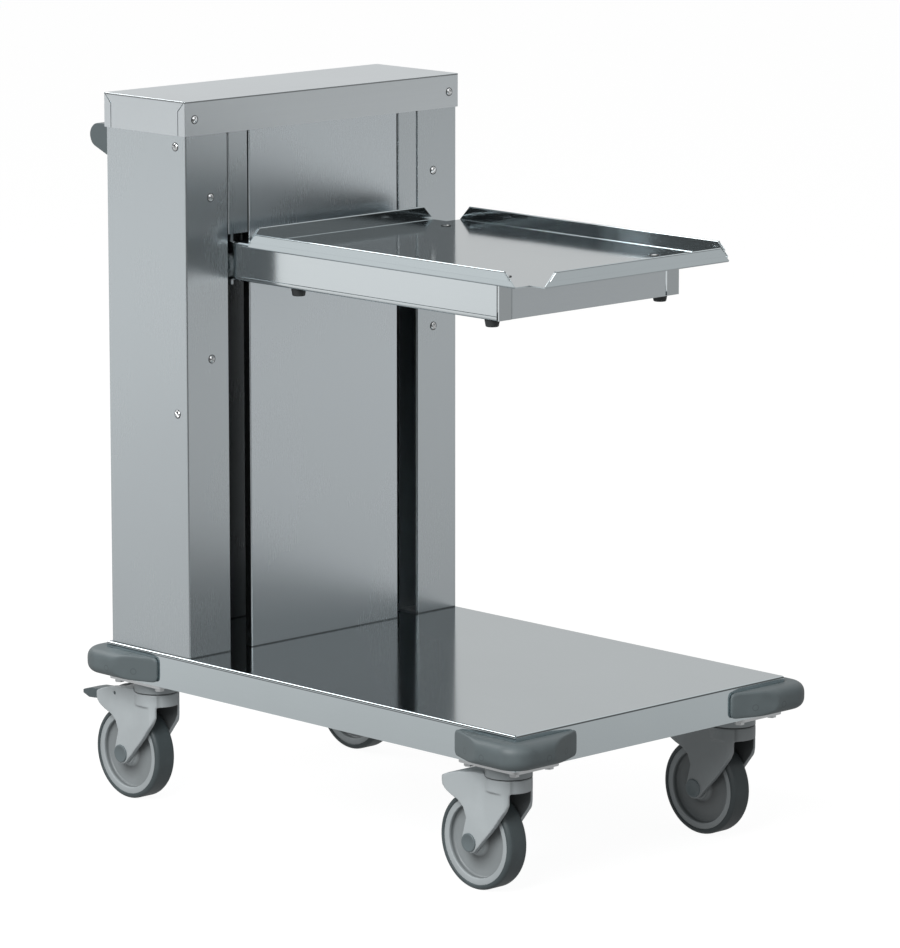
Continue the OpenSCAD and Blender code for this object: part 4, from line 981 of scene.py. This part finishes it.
# %% Tray plate
TRAY_SHEET, NOTCH, HEM, HEM_H, TRAY_BEND, FOLD = 0.0015, 0.027, 0.003, 0.0115, 0.0022, 0.0002
low, high, mid, half = extent("tray_plate")
half, rise, r = half - HEM, high[2] - low[2], TRAY_BEND
lower = arc((-r, r), r, -90, 0, 6)
crest = arc((FOLD, rise - TRAY_SHEET - FOLD), FOLD, 180, 0, 6)
profile = np.concatenate([lower, crest, [(2 * FOLD + 0.0003, rise - HEM_H)]])
out, up = np.split(profile, 2, axis=1)
tray_parts, floor_edge = [], []
for turn in range(4):
    along, across = half[turn % 2], half[1 - turn % 2]
    ends = (along - NOTCH - np.maximum(up - r, 0)) * BOTH
    points = turned(points_at(ends, -across - out, low[2] + up), turn, mid)
    tray_parts.append(grid(points))
    corner = turned(np.array([[along - NOTCH, NOTCH - across, low[2]]]), turn, mid)
    floor_edge += [points[0], corner]
tray_parts.append(flat(np.concatenate(floor_edge)))
thicken("tray_sheet", tray_parts, tray_steel, ["tray_plate"], -TRAY_SHEET, bevel=0.0002)
print("flanges:", len(tray_parts) - 1, "height", rise.round(3), "m")

# %% [markdown]
# ## Arms
# Outside the column an arm is a channel that opens towards the other arm; inside it is a plain
# strip. The front of each channel is closed by a return, and a panel fills the space between.

# %% Arms and front panel
low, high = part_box("arm_left")
web, top, bottom = abs(low.x), high.z, low.z
ARM_SHEET, ARM_BEND, ARM_FLANGE, ARM_RETURN = 0.002, 0.003, 0.043, 0.023
NOSE_L, NOSE_GAP, EDGE_GAP = 0.0235, 0.0012, 0.0003
GROOVE_HALF, GROOVE_DEEP, GROOVE_DOWN, GROOVE_UP = 0.00045, 0.0004, 0.0042, 0.0058
grooves = np.concatenate([[(web, z + GROOVE_HALF), (web - GROOVE_DEEP, z), (web, z - GROOVE_HALF)]
                          for z in (top - GROOVE_DOWN, bottom + GROOVE_UP)])
for side, s in (("left", -1), ("right", 1)):
    node = "arm_" + side
    low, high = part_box(node)
    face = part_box("centre_panel")[0].y - ARM_SHEET
    outlines = []
    for flange in (ARM_FLANGE, ARM_RETURN):
        path = bent([(s * (web - flange), top), (s * web, top), (s * web, bottom),
                     (s * (web - flange), bottom)], ARM_BEND)
        upper = int(np.argmax(np.abs(path[:, 0]) > web - 1e-7))
        outlines.append(wall(np.concatenate([path[:upper + 1], grooves * (s, 1),
                                             path[upper + 1:]]), -s * ARM_SHEET))
    channel = carried(outlines[0], "y", low.y + NOSE_L, face)
    nose = carried(outlines[1], "y", low.y + NOSE_GAP, low.y + NOSE_L)
    inner = [(s * web, top - GROOVE_DEEP), (s * web, bottom + GROOVE_DEEP)]
    strip = carried(wall(np.array(inner), -s * ARM_SHEET), "y", face, high.y)
    front = carried(wall(np.array([(s * (web - ARM_RETURN), low.y),
                                   (s * (web - NOSE_GAP), low.y)]), ARM_SHEET),
                    "z", bottom + EDGE_GAP, top - EDGE_GAP)
    weight_normals(build("platform_arm_" + side, channel + nose + strip + front, arm_steel,
                         [node], smooth=40))
edged("front_panel", "arm_front_panel", tray_front_steel, 0.5)
print("arms:", round(top - bottom, 3), "x", round(high.y - low.y, 3), "m")

# %% [markdown]
# ## Rubber buffers and guide rollers
# Turned pieces again: a buffer tapers and has a rounded foot, and a roller has a shallow groove in
# each face round its bearing.

# %% Buffers and rollers
buffers = []
for points in pieces_of("platform_buffers"):
    low, high, mid, half = extent(points)
    r, h = half[0], 2 * half[2]
    edge = np.concatenate([[(0.0, h), (r, h)], arc((r * 0.84 - 0.0016, 0.0016), 0.0016, 0, -90, 5),
                           [(0.003, 0), (0.0026, 0.0014), (0.0, 0.0014), (0.0, h / 2)]])
    buffers.append(lathe(edge, (mid[0], mid[1], low[2]), "z", 48))
build("buffers_under_arms", buffers, black_rubber, ["platform_buffers"])
rollers = [n for n in node_slot if n.startswith("roller_") and n != "roller_axles"]
for node in rollers:
    _, _, mid, (w, _, r) = extent(node)
    edge = np.concatenate([[(r, 0)], arc((r - 0.0012, w - 0.0012), 0.0012, 0, 90, 4),
                           [(0.0118, w), (0.0112, w - 0.0012), (0.0088, w - 0.0012), (0.0082, w),
                            (0.00505, w), (0.00505, 0)]])
    build("dressed_" + node, [lathe(mirrored(edge), mid, "x", 64)], roller_plastic, [node])
print("buffers:", len(buffers), "rollers:", len(rollers))

# %% [markdown]
# ## Screws
# A round-head screw is a dome with a slot. The head is a grid squeezed into a disc. Its columns at
# the slot's two edges are doubled, at the dome's height and at the slot's floor, for the walls.

# %% One round-head screw
def dome_screw(radius, height, shank_r, shank_l, slot_w=0.0015, slot_d=0.0014):
    """Grids of one screw, its seat at z = 0 and its head towards +z."""
    edge = slot_w / 2
    x = -radius * np.cos(np.linspace(0.08, 1.0, 9) * np.pi / 2)
    x = np.concatenate([x[x < -edge * 1.05], [-edge]])
    left = np.array([x, np.zeros(len(x))]).T
    cols = np.concatenate([left, [(-edge, 1), (edge, 1)], left[::-1] * (-1, 1)])
    v = np.sin(np.linspace(-1, 1, 21) * np.pi / 2)[None, :]
    reach = np.sqrt(np.maximum(radius ** 2 - cols[:, :1] ** 2, 1e-12))
    gx, gy = cols[:, :1], reach * v
    curve = (radius ** 2 + height ** 2) / (2 * height) * 1.15
    far = np.sqrt(np.maximum(curve ** 2 - gx ** 2 - gy ** 2, 0)) - curve + height
    z = np.where(cols[:, 1:] > 0, height - slot_d, far)
    top = points_at(gx, gy, z)
    rim = np.concatenate([top[0], top[1:, -1], top[-1, ::-1][1:], top[::-1, 0][1:-1]])
    skirt = np.stack([rim, rim * (1, 1, 0), rim * 0])
    a = np.linspace(0, 2 * np.pi, 16, endpoint=False)
    ring = points_at(shank_r * np.cos(a), shank_r * np.sin(a), 0)
    shank = np.stack([ring - (0, 0, shank_l), ring + (0, 0, height * 0.3)])
    return [grid(top), grid(skirt, wrap_v=True), grid(shank, wrap_v=True), flat(shank[0]),
            flat(shank[1])]


HEAD_R, HEAD_H, SHANK_R = 0.0048, 0.0024, 0.002
print("a screw has", sum(len(f) for _, f in dome_screw(HEAD_R, HEAD_H, SHANK_R, 0.006)), "faces")

# %% [markdown]
# The CAD has the screws as solids. The axis is the side of a screw's box that differs from the
# other two, and the head's wider points tell which end it is. Each head lies on a thin black ring,
# which paints the shade in the gap round the head as a crisp dark outline.

# %% Screws and black rings of painted shade
def facing(points, flush, turn):
    """Axes, seat and shank length of a screw, read from its solid's points, with its slot turned.

    A countersunk head is flush, so its dome sits at the head's outer end.
    """
    low, high, middle, half = extent(points)
    axis = int(np.argmax(np.abs(half - np.median(half))))
    others = [i for i in range(3) if i != axis]
    wide = np.abs(points[:, others] - middle[others]).max(1) > HEAD_FROM_R
    head = points[wide][:, axis]
    out = 1 if head.mean() > middle[axis] else -1
    seat = middle.copy()
    seat[axis] = head.min() if (out > 0) != flush else head.max()
    length = abs((low if out > 0 else high)[axis] - seat[axis])
    normal, side = np.eye(3)[axis] * out, np.eye(3)[(axis + 1) % 3]
    side = side * np.cos(turn) + np.cross(normal, side) * np.sin(turn)
    return np.stack([side, np.cross(normal, side), normal]), seat, length


def on_screws(node, shape, flush, most_turn=0.0):
    """Grids of shape(shank length) set on each screw of a CAD node, turned up to most_turn."""
    rng = np.random.default_rng(7)
    parts = []
    for points in pieces_of(node):
        basis, seat, length = facing(points, flush, rng.uniform(0, most_turn))
        parts += [(p @ basis + seat, f) for p, f in shape(length)]
    return parts


HEAD_FROM_R, RING_HOLE_R = 0.003, 0.0044
for name, node, height, flush in (("screws_of_covers", "cover_screws", HEAD_H, False),
                                  ("screws_of_bumpers", "bumper_screws", HEAD_H, False),
                                  ("screws_of_plate", "plate_screws", 0.0017, True)):
    parts = on_screws(node, lambda length: dome_screw(HEAD_R, height, SHANK_R, length), flush,
                      np.pi)
    build(name, parts, screw_steel, [node], smooth=40)
# Painted shade: a thin black ring under each head stands for the shade in the gap round it.
for name, node, r, h, flush in (("washers_of_covers", "cover_screws", 0.0058, 0.00035, False),
                                ("washers_of_plate", "plate_screws", 0.0066, 0.0008, True)):
    section = np.array([(RING_HOLE_R, 0), (r, 0), (r - 0.0001, h), (RING_HOLE_R, h)])
    parts = on_screws(node, lambda length: [lathe(section, (0, 0, 0), "z", 40)], flush)
    build(name, parts, black_rubber, body=node_body[node])
    print(name, len(parts))

# %% [markdown]
# ## Lift springs
# Ten tension springs hang side by side between two rods, each a helix of thin wire with a hook at
# either end. The upper end hangs from the column and the lower one from the platform; the coils are
# built as they hang at rest and stay fixed in the scene.

# %% Springs
def wire(path, radius):
    """A six-sided wire along a path, set up against the direction it least follows."""
    along = unit(np.gradient(path, axis=0))
    side = unit(np.cross(along, np.eye(3)[np.argmin(np.abs(along).mean(0))]))
    other = np.cross(along, side)
    a = np.radians(np.arange(0, 360, 60))[None, :, None]
    ring = path[:, None] + radius * (np.cos(a) * side[:, None] + np.sin(a) * other[:, None])
    return [grid(ring, wrap_v=True), flat(ring[0]), flat(ring[-1])]


WIRE_R, COIL_STEPS, COILS = 0.0011, 10, 58
HOOK_L, HOOK_R, HOOK_OFF = 0.010, 0.0053, 0.0043
low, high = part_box("lift_springs")
springs = sorted(pieces_of("lift_springs"), key=lambda p: p[:, 0].min())
parts = []
for points in springs:
    s_low, s_high, (x, y, _), s_half = extent(points)
    coil_r = s_half[0] - WIRE_R
    z0, z1 = s_low[2] + HOOK_L, s_high[2] - HOOK_L
    t = np.linspace(0, 1, COILS * COIL_STEPS + 1)
    a = t * COILS * 2 * np.pi
    narrow = np.clip(np.minimum(t, 1 - t) * COILS, 0, 1) ** 0.5
    reach = coil_r * (0.25 + 0.75 * narrow)
    parts += wire(points_at(x + reach * np.cos(a), y + reach * np.sin(a), z0 + (z1 - z0) * t),
                  WIRE_R)
    for z_end, z_rod, s in ((z0, s_low[2] - HOOK_OFF, -1), (z1, s_high[2] + HOOK_OFF, 1)):
        loop = np.radians(np.linspace(-60, 215, 20))
        ring = points_at(x, y + HOOK_R * np.cos(loop), z_rod + s * HOOK_R * np.sin(loop))
        lead = np.array([[x, y, z_end], [x, y + 0.001, (z_end + ring[0][2]) / 2]])
        parts += wire(np.concatenate([lead, ring]), WIRE_R)
coil = build("lift_coils", parts, screw_steel, ["lift_springs"], smooth=60)
coil.parent = None
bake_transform(coil)
print("springs:", len(springs), "of", COILS, "coils")

# %% [markdown]
# ## Machined and punched parts
# The CAD shapes of rails, plates and bolts are right, so they only get a narrow bevel.

# %% Remaining parts
# Parts inside the column take the zinc darkened as painted shade.
REMAINING = (
    ("caster_plates", cup_paint, 0.3), ("caster_bolts", zinc, 0.4), ("rail_feet", zinc, 0.3),
    ("guide_rail_left", inner_zinc, 0.3), ("guide_rail_right", inner_zinc, 0.3),
    ("deck_crossmember_front", zinc, 0.4), ("deck_crossmember_rear", zinc, 0.4),
    ("crossmember_flanges_front", zinc, 0.4), ("crossmember_flanges_rear", zinc, 0.4),
    ("deck_rib", zinc, 0.4), ("top_bridge", inner_zinc, 0.4), ("spring_hanger", zinc, 0.3),
    ("stop_buffers", black_rubber, 0.8), ("carriage_uprights", inner_zinc, 0.4),
    ("carriage_crossbars", inner_zinc, 0.8), ("roller_axles", inner_zinc, 0.4),
    ("spring_anchor", zinc, 0.4))
for node, finish, width in REMAINING:
    edged("dressed_" + node, node, finish, width)
print("edged parts:", len(REMAINING))

# %% [markdown]
